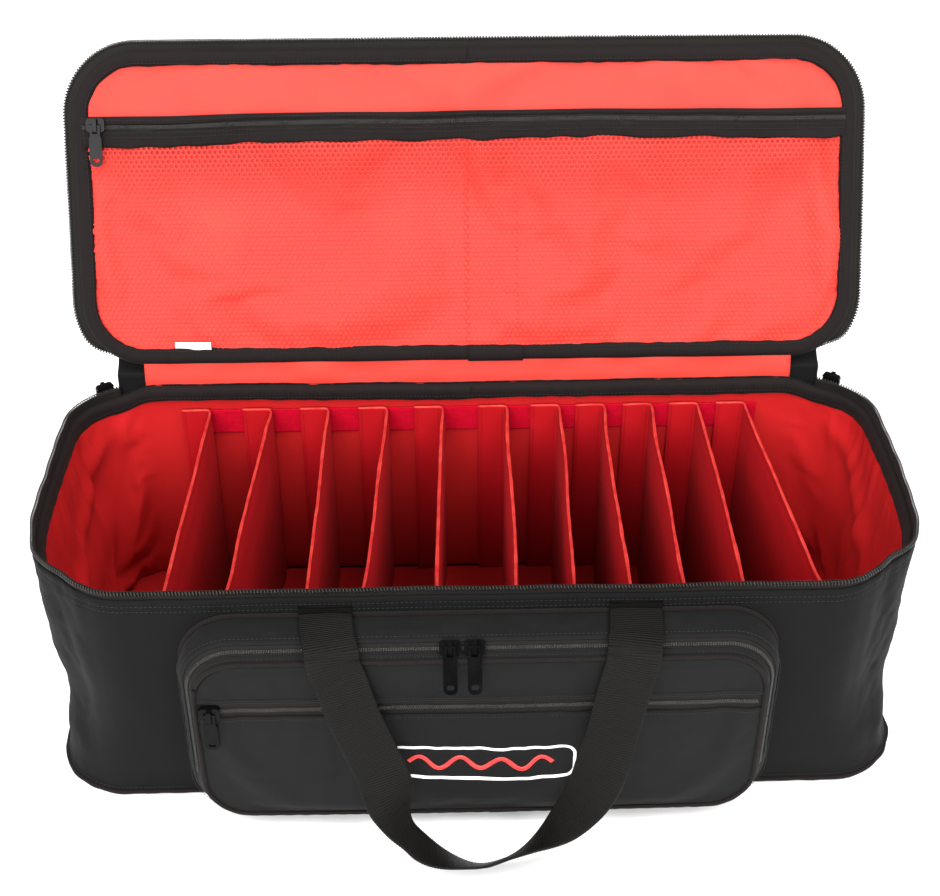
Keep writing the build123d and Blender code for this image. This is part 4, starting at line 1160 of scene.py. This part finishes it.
# piping round the front panel, with a flat welt inside it
pline = pocket_at(10.2, -172.4)
wob = 0.25 * pk2(gx, 0, gz) + 0.12 * np.sin(gs / 2.4)
pipe = build("pocket_pipe", tube_parts(pline + G3 * (0.1 * wob)[:, None],
    1.75 + 0.1 * np.sin(gs / 2.1 + 1.5 * pk2(gx, 0, gz)), 12), BIND, "bag")
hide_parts("pocket_piping")

# front panel: crowned by what's behind it, cut across by the zip
FRONT_EDGE = (201.0, 71.0, 31.5)
fx, fy = panel(*FRONT_EDGE, 110, 40)
fd = edge_gap(fx, fy, *FRONT_EDGE)
flat1 = np.stack([fx, PANEL_Y - 0.7 * pk1(fx, fy) * smooth(fd, 2, 25), fy + POCKET_Z], -1)
out = settle(flat1, quads(*fx.shape)[:, ::-1], np.where(fd < 2.0, 1.0, 0.0), -0.012, 0.45, 0.4, 16,
    bend=0.5)
fw = relax(np.clip(PANEL_Y - out[..., 1], -1.0, 5.0), 2)
fw = fw + (0.3 * np.abs(pk2(fx, fy)) + 0.12 * pk3(fx, fy)) * smooth(fd, 1, 8)
fw = fw * (1 - 0.5 * hump(fy, 29, 12)) + 0.6 * smooth(fd, 1, 3) - 0.7 * hump(fd, 6.0, 1.1)


def front_y(x, z):
    y = np.clip(np.asarray(z, float) - POCKET_Z, 0.01 - FRONT_EDGE[1], FRONT_EDGE[1] - 0.01)
    half = row_half(y, *FRONT_EDGE)
    column = (np.asarray(x) / half + 1) / 2 * (fx.shape[1] - 1)
    return PANEL_Y - look_up(fw, np.interp(y, fy[:, 0], np.arange(len(fy))), column)


def front_part(name, z0, z1, nz, edge, out, material, thick=1.0, nx=200):
    z = np.linspace(z0, z1, nz)
    arc = row_half(z - POCKET_Z, *FRONT_EDGE)
    x = arc[:, None] * np.linspace(-1, 1, nx)
    zz_ = np.broadcast_to(z[:, None], x.shape)
    y = front_y(x, zz_) - out
    if edge is not None:
        wave = 0.5 * pk1(x, 0) + 0.25 * pk2(x, 30)
        near = np.abs(zz_ - edge)
        y = y - 0.75 * (1 - smooth(near, 2.2, 3.4)) + 0.5 * hump(near, 4.2, 0.7) + 0.6 * hump(near, 0, 0.7)
        zz_ = zz_ + wave * (1 - smooth(near, 0, 12))
    zz_ = zz_ - sag_of(x, zz_)
    return build(name, [slab(np.stack([x, y, zz_], -1), thick, flip=True)], material, "bag")


lower = front_part("pocket_front_low_cloth", 24.05, FRONT_LOW_TOP, 56, FRONT_LOW_TOP, 0.0,
    POCKET)
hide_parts("pocket_front_lower")
upper = front_part("pocket_front_top_cloth", FRONT_TOP_LOW, 165.95, 24, FRONT_TOP_LOW, 0.0,
    POCKET)
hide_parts("pocket_front_upper")
ztape = front_part("front_tape", 114.5, 133.5, 11, None, -1.3, TAPE, 0.7)
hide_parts("front_zip_tape")
zx = np.arange(-198, 198.1, 2.0)
zl = np.stack([zx, front_y(zx, FRONT_ZIP_Z + 0 * zx) + 1.3 - 0.45, np.full(len(zx), FRONT_ZIP_Z)], 1)
Up3, Yo = every((0, 0, 1), zl), every((0, -1, 0), zl)
front_coil = build("front_coil", chain_parts(zl, Up3, Yo, 0.8, POCKET_PITCH, 0.95, 0.6, 0.34), CHAIN, "bag")
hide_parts("front_zip_coil")
rows = []
for z in (133.4, 114.8):
    xx = np.arange(-199, 199.1, 2.0)
    zw = z + 0.5 * pk1(xx, 0) + 0.25 * pk2(xx, 30)
    row = np.stack([xx, front_y(xx, zw) - 0.35, zw], 1)
    rows += stitch_parts(row, every((0, -1, 0), row), *FINE_SEAM)
build("front_stitches", rows, THREAD, "bag")
bk_x, bk_y = panel(198.0, 69.0, 29.0, 60, 24)
back_sheet = build("pocket_lining_sheet", [slab(np.stack([bk_x, -167.3 + 0.4 * pk1(bk_x, bk_y),
    bk_y + POCKET_Z - sag_of(bk_x, bk_y + POCKET_Z)], -1), 0.7, flip=True)], RED, "bag")
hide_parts("pocket_backing")

# the pocket binding's two ends lap at the bottom
lap_pick = (gz < 20) & (np.abs(gx - 18) < 11)
lap_line = pocket_at(10.6, -171.6)[lap_pick]
lap_out = G3[lap_pick]
lap_grid = np.stack([lap_line + lap_out * o + np.array([0, d, 0])
    for o, d in ((-1.5, -1.5), (1.0, -2.2), (2.3, -0.8), (2.3, 1.6), (1.0, 2.6))], 1)
lap = build("pocket_pipe_lap", [slab(lap_grid, 0.6)], BIND, "bag")

# printed mark: a plain rounded frame round one wavy line


def printed(name, xz_left, xz_right, closed, material):
    """A thin printed ribbon between two lines on the front panel."""
    cols_ = [xz_left + (xz_right - xz_left) * k for k in (0, 0.12, 0.5, 0.88, 1.0)]
    hgt = (0.06, 0.3, 0.32, 0.3, 0.06)
    g = np.stack([np.stack([c[:, 0], front_y(c[:, 0], c[:, 1]) - h, c[:, 1] - sag_of(c[:, 0], c[:, 1])], 1)
        for c, h in zip(cols_, hgt)], 1)
    return build(name, [slab(g, 0.3, closed)], material, "bag")


eo, en2, _ = ring(70.0, 15.0, 9.0, 1.5)
oo = eo + np.array([0, MARK_Z])
mark = printed("printed_frame", oo, oo - en2 * 2.5, True, INK_WHITE)
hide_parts("emblem")
wx = np.linspace(-52.5, 52.5, 150)
wz = MARK_Z + 5.0 * np.sin((wx - wx[0]) / 15.0 * np.pi)
dd = unit(np.stack([np.gradient(wx), np.gradient(wz)], 1))
nw = np.stack([-dd[:, 1], dd[:, 0]], 1)
wl = np.stack([wx, wz], 1)
printed("printed_wave", wl + nw * 1.6, wl - nw * 1.6, False, INK_RED)

# ---- webbing ----------------------------------------------------------------------------------


def webbing(name, line, width_dir, body, width=WEB_WIDTH, half=1.05, rib=0.32, pitch=1.9, floor=None):
    """Ribbed flat webbing along a line; width_dir is the direction of its width at each point."""
    P, W = resample(line, pitch / 5, width_dir)
    T = unit(np.gradient(P, axis=0))
    W = unit(W - (W * T).sum(-1, keepdims=True) * T)
    N = np.cross(T, W)
    s = table(P)
    ribs = half + rib * (2 * np.abs(np.sin(np.pi * s / pitch)) - 1)
    u = np.array([-1, -0.985, -0.93, -0.8, -0.5, -0.17, 0.17, 0.5, 0.8, 0.93, 0.985, 1])
    shape = np.array([0.25, 0.72, 0.95, 1, 1, 1, 1, 1, 1, 0.95, 0.72, 0.25])
    top = np.stack([np.broadcast_to(u * width / 2, (len(P), 12)), ribs[:, None] * shape], -1)
    low = np.stack([np.broadcast_to(u[::-1] * width / 2, (len(P), 12)), -ribs[:, None] * shape[::-1]], -1)
    prof_ = np.concatenate([top, low], 1)
    chunks = sweep(P, (W, N), prof_)
    V = chunks[0][0]
    if floor is not None:
        k = prof_.shape[1]
        body_v = V[: len(P) * k].reshape(len(P), k, 3)
        short = np.maximum(floor - body_v[..., 2].min(1), 0)
        for _ in range(60):
            short = np.maximum(short, np.convolve(np.pad(short, 8, mode="edge"), np.ones(17) / 17, "valid"))
        body_v[..., 2] += short[:, None]
    return build(name, chunks, WEB, body)


def turned(line, T, face, inside, angle):
    """Width directions of webbing whose face starts at face and turns by angle towards the inside point."""
    F = unit(face - (face * T).sum(-1, keepdims=True) * T)
    R = np.cross(T, F)
    side = np.sign((R * (np.array(inside, float) - line)).sum(-1, keepdims=True))
    R = R * np.where(side == 0, 1, side)
    return np.cross(F * np.cos(angle)[:, None] + R * np.sin(angle)[:, None], T)


# front handle: over the pocket's top, down its front, round on the ground and back up
DROP = np.array([-42.1 / 184.8, -179.6 / 184.8])
FRONT_N = np.array([0, -0.974, 0.228])
half_xd = [(-102, 0), (-101, 12), (-98, 24), (-93.5, 40), (-89, 55), (-83.5, 69), (-78, 83), (-72, 97),
    (-67.5, 110), (-64, 123), (-58, 137), (-47, 151), (-31, 161.5), (-13, 168), (0, 170), (12, 167),
    (25, 160.5), (39, 151.5), (52, 142.5), (63, 133.5), (72, 123.5), (79.5, 112), (85, 99), (89.5, 84),
    (94.5, 62), (100, 36), (103, 18), (105, 0)]
loop3 = [(x, -173.5 + d * DROP[0] - 12.0 * smooth(d, 80, 171), 180.0 + d * DROP[1]) for x, d in half_xd]
over = [(0, -136.2, 181.3), (0, -146, 181.9), (0, -157, 181.9), (0, -166.5, 181.2), (0, -173.2, 177.6),
    (0, -177.2, 169.0)]
over_x = ((-109.0, 110.6), (-108.3, 110.1), (-106.8, 109.2), (-105.0, 107.9), (-103.4, 106.6),
    (-102.3, 105.6))
pts = ([(a, y, z) for (a, _), (_, y, z) in zip(over_x, over)] + loop3[1:-1]
    + [(b, y, z) for (_, b), (_, y, z) in zip(over_x[::-1], over[::-1])])
pts = [p for p in pts if not (p[2] < 169.0 and p[2] > 161.0)]
line = curve(pts, 0.8)
s = table(line)
T = unit(np.gradient(line, axis=0))
mid_s = s[int(np.argmax(line[:, 0] > 6))]
turn_in = smooth(s, mid_s - 122, mid_s - 62)
turn_out = 1 - smooth(s, mid_s + 34, mid_s + 146)
edge_on = smooth(s, mid_s - 64, mid_s - 4) * (1 - smooth(s, mid_s + 8, mid_s + 66))
phi = np.radians(88.0 * turn_in * turn_out + 36.0 * edge_on)
ref = every(FRONT_N, T)
blend_top = smooth(line[:, 2], 165, 181)[:, None]
ref = unit(ref * (1 - blend_top) + np.array([0, 0, 1.0]) * blend_top)
front_handle = webbing("front_handle", line, turned(line, T, ref, (0, -190, 120), phi), None, floor=0.35)
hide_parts("handle_front_straps", "handle_front_loop")
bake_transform(front_handle)


def sewn_end(name, x, y, body):
    """The strap's end on the wall: a short flat length."""
    z = np.linspace(181.0, 187.5, 26)
    ln_ = np.stack([np.full(len(z), x), np.full(len(z), y), z], 1)
    return webbing(name, ln_, every((1, 0, 0), ln_), body, half=1.0, rib=0.12)


for side_, x in (("left", -HANDLE_X), ("right", HANDLE_X)):
    sewn_end(f"front_handle_end_{side_}", x + 0.8, -135.9, "bag")
    sewn_end(f"rear_handle_end_{side_}", x, 136.6, "bag")

# rear handle: hangs down the back wall, its loop lying out on the ground
rear_half = [(HANDLE_X, 0), (106.5, 22), (102, 46), (97, 70), (92, 94), (87, 114), (80, 138), (69, 160),
    (52, 182), (28, 198)]
rear_xd = [(-x, d) for x, d in rear_half] + [(0, 205)] + rear_half[::-1]


def rear_at(x, d):
    if d <= 100:
        return (x, 138.0 + 0.8 * math.sin(d / 32.0), 180.8 - d)
    t = d - 100
    bend = min(t / 30.0, 1.0)
    return (x, 138.3 + 0.18 * t * bend + 0.80 * max(t - 15, 0) * 0.9, max(80.8 - t * (1 - 0.28 * bend), 3.6))


line_r = curve([rear_at(x, d) for x, d in rear_xd], 0.8)
Tr = unit(np.gradient(line_r, axis=0))
sr = table(line_r)
mid_r = sr[-1] / 2
phir = np.radians(62.0 * smooth(sr, mid_r - 120, mid_r - 60) * (1 - smooth(sr, mid_r + 60, mid_r + 120)))
across_r = turned(line_r, Tr, every((0, 0.93, 0.36), Tr), (0, 150, 110), phir)
rear_handle = webbing("rear_handle", line_r, across_r, "handle_rear", floor=0.35)
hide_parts("handle_rear")

# ---- dividers ---------------------------------------------------------------------------------

REACH = 124.9


def divider(number, xr, xf):
    name = f"divider_{number:02d}"
    f1 = waves(100 + number, 10, 120, 300)
    f2 = waves(130 + number, 14, 30, 90)
    f3 = waves(160 + number, 14, 9, 28)
    bow = 1.1 * math.sin(number * 2.1)
    # plan line: front flange, front bend, panel, rear bend, rear flange
    yf, yr = -REACH + 0.9, REACH - 0.9
    plan = [(xf - FLANGE, yf), (xf - 16, yf), (xf - 8, yf), (xf - 3.2, yf), (xf - 0.9, yf + 0.8),
        (xf, yf + 3.2), (xf + 0.1, yf + 10)]
    for k in np.linspace(0.1, 0.9, 9):
        plan.append((xf + (xr - xf) * k + bow * math.sin(math.pi * k), yf + (yr - yf) * k))
    plan += [(xr + 0.1, yr - 10), (xr, yr - 3.2), (xr - 0.9, yr - 0.8), (xr - 3.2, yr), (xr - 8, yr),
        (xr - 16, yr), (xr - FLANGE, yr)]
    L = curve(plan, 2.6)
    L[:, 1] = np.clip(L[:, 1], yf, yr)
    n = len(L)
    sl = table(L)
    t2 = unit(np.gradient(L, axis=0))
    n2 = np.stack([t2[:, 1], -t2[:, 0]], 1)
    edge = np.minimum(sl, sl[-1] - sl)
    half = 0.85 + 1.1 * smooth(edge, 25, 30)
    thin = 0.85 * smooth(edge, 25, 30)
    tip = np.minimum(1.0, (edge + 0.6) / 1.6)
    zl_ = np.concatenate([[DIVIDER_LOW, 5.9, 7.0], np.linspace(11, 176, 44),
        [178.4, 179.8, 180.8, 181.5, 181.9]])
    top = 1.9
    side_p = []
    mid_e = smooth(edge, 30, 70)

    def sway(z):
        slow = f1(L[:, 0] * 0, L[:, 1], z)
        return mid_e * (0.7 * slow + 0.5 * f1(40, L[:, 1] * 1.2, z * 0.6) * smooth(z, 30, 180))

    topz = 0.9 * f2(7, L[:, 1] * 0.8, 0) * mid_e
    for sgn_ in (1, -1):
        rows_ = []
        for z in zl_:
            rnd = math.sqrt(max(1 - (max(z - (DIVIDER_TOP - top), 0) / top) ** 2, 0.02))
            rndb = math.sqrt(max(1 - (max(DIVIDER_LOW + 1.0 - z, 0) / 1.0) ** 2, 0.04))
            soft = (0.28 * np.abs(f2(L[:, 0] * 0 + 3 * sgn_, L[:, 1], z)) * mid_e
                + 0.12 * f3(sgn_ * 5, L[:, 1], z) * mid_e)
            seam = -0.45 * hump(z, DIVIDER_SEAM, 0.8) * mid_e - 0.35 * hump(edge, 32.5, 1.0)
            h = (half - thin * smooth(z, 164, 180) + soft * rnd + seam) * rnd * rndb * tip
            o = sway(z) + sgn_ * h
            lift = 0.9 * smooth(edge, 14, 0) * np.clip(f2(50, L[:, 1] * 0.2, z * 0.5) + 0.3, 0, 1.2)
            # the flange's free edge curls off the wall, towards the inside of the bag
            inw = np.where(L[:, 1] > 0, -1.0, 1.0) * lift * (edge < FLANGE)
            rows_.append(np.stack([L[:, 0] + n2[:, 0] * o, L[:, 1] + n2[:, 1] * o + inw,
                z + topz * smooth(z, 60, DIVIDER_TOP)], 1))
        side_p.append(np.stack(rows_, 0))
    A_, B_ = side_p
    loop_ = np.concatenate([A_, B_[:, ::-1]], 1)
    m = loop_.shape[1]
    V = loop_.reshape(-1, 3)
    F = [quads(len(zl_), m, False, True)]
    jj = np.arange(n - 1)
    t0 = (len(zl_) - 1) * m
    F.append(np.stack([jj, jj + 1, m - 2 - jj, m - 1 - jj], 1))
    F.append(np.stack([t0 + m - 1 - jj, t0 + m - 2 - jj, t0 + jj + 1, t0 + jj], 1))
    uv = np.stack(np.broadcast_arrays(np.concatenate([sl, sl[::-1]])[None], zl_[:, None]), -1).reshape(-1, 2)
    cover = build(name + "_cover", [(V, np.concatenate(F), uv)], DIVIDER, name)
    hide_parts(name)
    # stitches: along the top, beside both bends and along the flanges' free edges
    rows_ = []
    k_top = int(np.argmin(np.abs(zl_ - DIVIDER_SEAM)))
    inner = np.nonzero(edge > 30)[0]
    for side_i, sg in ((A_, 1), (B_, -1)):
        nn_ = np.concatenate([n2 * sg, np.zeros((n, 1))], 1)
        rows_ += stitch_parts(side_i[k_top][inner], nn_[inner], 3.2, 2.4, 0.26, 0.0)
        for where in (2.6, 20.5):
            for end in (0, 1):
                pos = where if end == 0 else sl[-1] - where
                j = int(np.argmin(np.abs(sl - pos)))
                zs = slice(3, len(zl_) - 3)
                rows_ += stitch_parts(side_i[zs, j], np.repeat(nn_[j][None], len(zl_) - 6, 0), 3.2, 2.4, 0.26,
                    0.0)
    build(name + "_stitches", rows_, RED_THREAD, name)
    hooks = []
    for sgn_, x0 in ((-1, xf), (1, xr)):
        hx, hz = np.meshgrid(np.linspace(x0 - 22.5, x0 - 2.5, 14), np.linspace(157.5, 178.5, 14),
            indexing="ij")
        hy = sgn_ * (REACH + 0.05) + sgn_ * 0.12 * f3(hx, 0, hz)
        hooks.append(slab(np.stack([hx, hy, hz], -1), 0.45, flip=(sgn_ > 0)))
    build(name + "_hooks", hooks, LOOP, name)


for i, (xr, xf) in enumerate(zip(REAR_X, FRONT_X)):
    divider(i + 1, float(xr), float(xf))

# loop strips sewn to the long walls
pieces = []
rows = []
for sgn_ in (1, -1):
    gx_, gz_ = np.meshgrid(np.linspace(-STRIP_X, STRIP_X, 320), np.linspace(STRIP_LOW, STRIP_TOP, 24),
        indexing="ij")
    fz = waves(71, 20, 2.2, 6.5)
    edge_ = np.minimum(np.minimum(gz_ - STRIP_LOW, STRIP_TOP - gz_), STRIP_X - np.abs(gx_))
    yy_ = sgn_ * (126.35 - 0.35 * smooth(edge_, 0, 1.0) - 0.12 * fz(gx_, 0, gz_) * smooth(edge_, 0, 1.5))
    pieces.append(slab(np.stack([gx_, yy_, gz_ + 0.3 * soft2(gx_, 0)], -1), 0.6, flip=(sgn_ > 0)))
loops = build("loop_tape_strips", pieces, LOOP, "bag")
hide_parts("loop_strips")

# ---- carried-over parts, camera, light and floor ----------------------------------------------

for name, ob in frame["nodes"].items():
    if not ob.hide_render:
        ob.data.materials.clear()
        ob.data.materials.append(METAL)

floor_mat = Nodes("paper_floor")
fc = floor_mat.new("TexCoord").outputs["Object"]
floor_mat.link(floor_mat.mix(floor_mat.noise(fc, 400.0), (0.90, 0.90, 0.90, 1), (0.94, 0.94, 0.94, 1)),
    floor_mat.b.inputs["Base Color"])
floor_mat.b.inputs["Roughness"].default_value = 0.9
fme = bpy.data.meshes.new("floor")
fme.from_pydata([(-9, -6, 0), (9, -6, 0), (9, 14, 0), (-9, 14, 0)], [], [(0, 1, 2, 3)])
floor = bpy.data.objects.new("floor", fme)
floor.location.z = -0.0004
scene.collection.objects.link(floor)
fme.materials.append(floor_mat.m)

world = bpy.data.worlds.new("studio")
scene.world = world
world.use_nodes = True
world.node_tree.nodes["Background"].inputs[0].default_value = (1, 1, 1, 1)
sky = world.node_tree
place = sky.nodes.new("ShaderNodeTexCoord")
axes = sky.nodes.new("ShaderNodeSeparateXYZ")
fade = sky.nodes.new("ShaderNodeMapRange")
sky.links.new(place.outputs["Generated"], axes.inputs[0])
sky.links.new(axes.outputs["Z"], fade.inputs["Value"])
# a white wall all round, to a quarter of the way up, under a dimmer ceiling
for socket, number in (("From Min", 0.24), ("From Max", 0.5), ("To Min", 1.0), ("To Max", 0.14)):
    fade.inputs[socket].default_value = number
sky.links.new(fade.outputs["Result"], sky.nodes["Background"].inputs["Strength"])


def soft_sun(name, toward, angle, power):
    """A broad soft source far away, shining from the direction toward."""
    data = bpy.data.lights.new(name, "SUN")
    data.angle = math.radians(angle)
    data.energy = power
    ob = bpy.data.objects.new(name, data)
    ob.location = Vector(toward) * 3
    ob.rotation_euler = Vector(toward).to_track_quat("Z", "Y").to_euler()
    scene.collection.objects.link(ob)


soft_sun("key", (-0.10, -0.91, 0.40), 32, 3.7)
soft_sun("top", (0.1, 0.0, 0.98), 40, 1.2)
soft_sun("fill_right", (0.48, -0.32, 0.81), 42, 2.7)
soft_sun("fill_left", (-0.52, -0.32, 0.79), 42, 3.0)
scene.view_settings.view_transform = "Standard"

TURN, TILT = math.radians(1.5), math.radians(90 - 35.5)
CAM_BACK, CAM_UP = 0.976, 0.9224
cam = bpy.data.objects.new("camera", bpy.data.cameras.new("camera"))
cam.data.sensor_width = 36
cam.data.lens = 60.2885
cam.location = (-0.0032 - CAM_BACK * math.sin(TURN), -CAM_BACK * math.cos(TURN), CAM_UP)
cam.rotation_euler = (TILT, 0, -TURN)
scene.collection.objects.link(cam)
scene.camera = cam
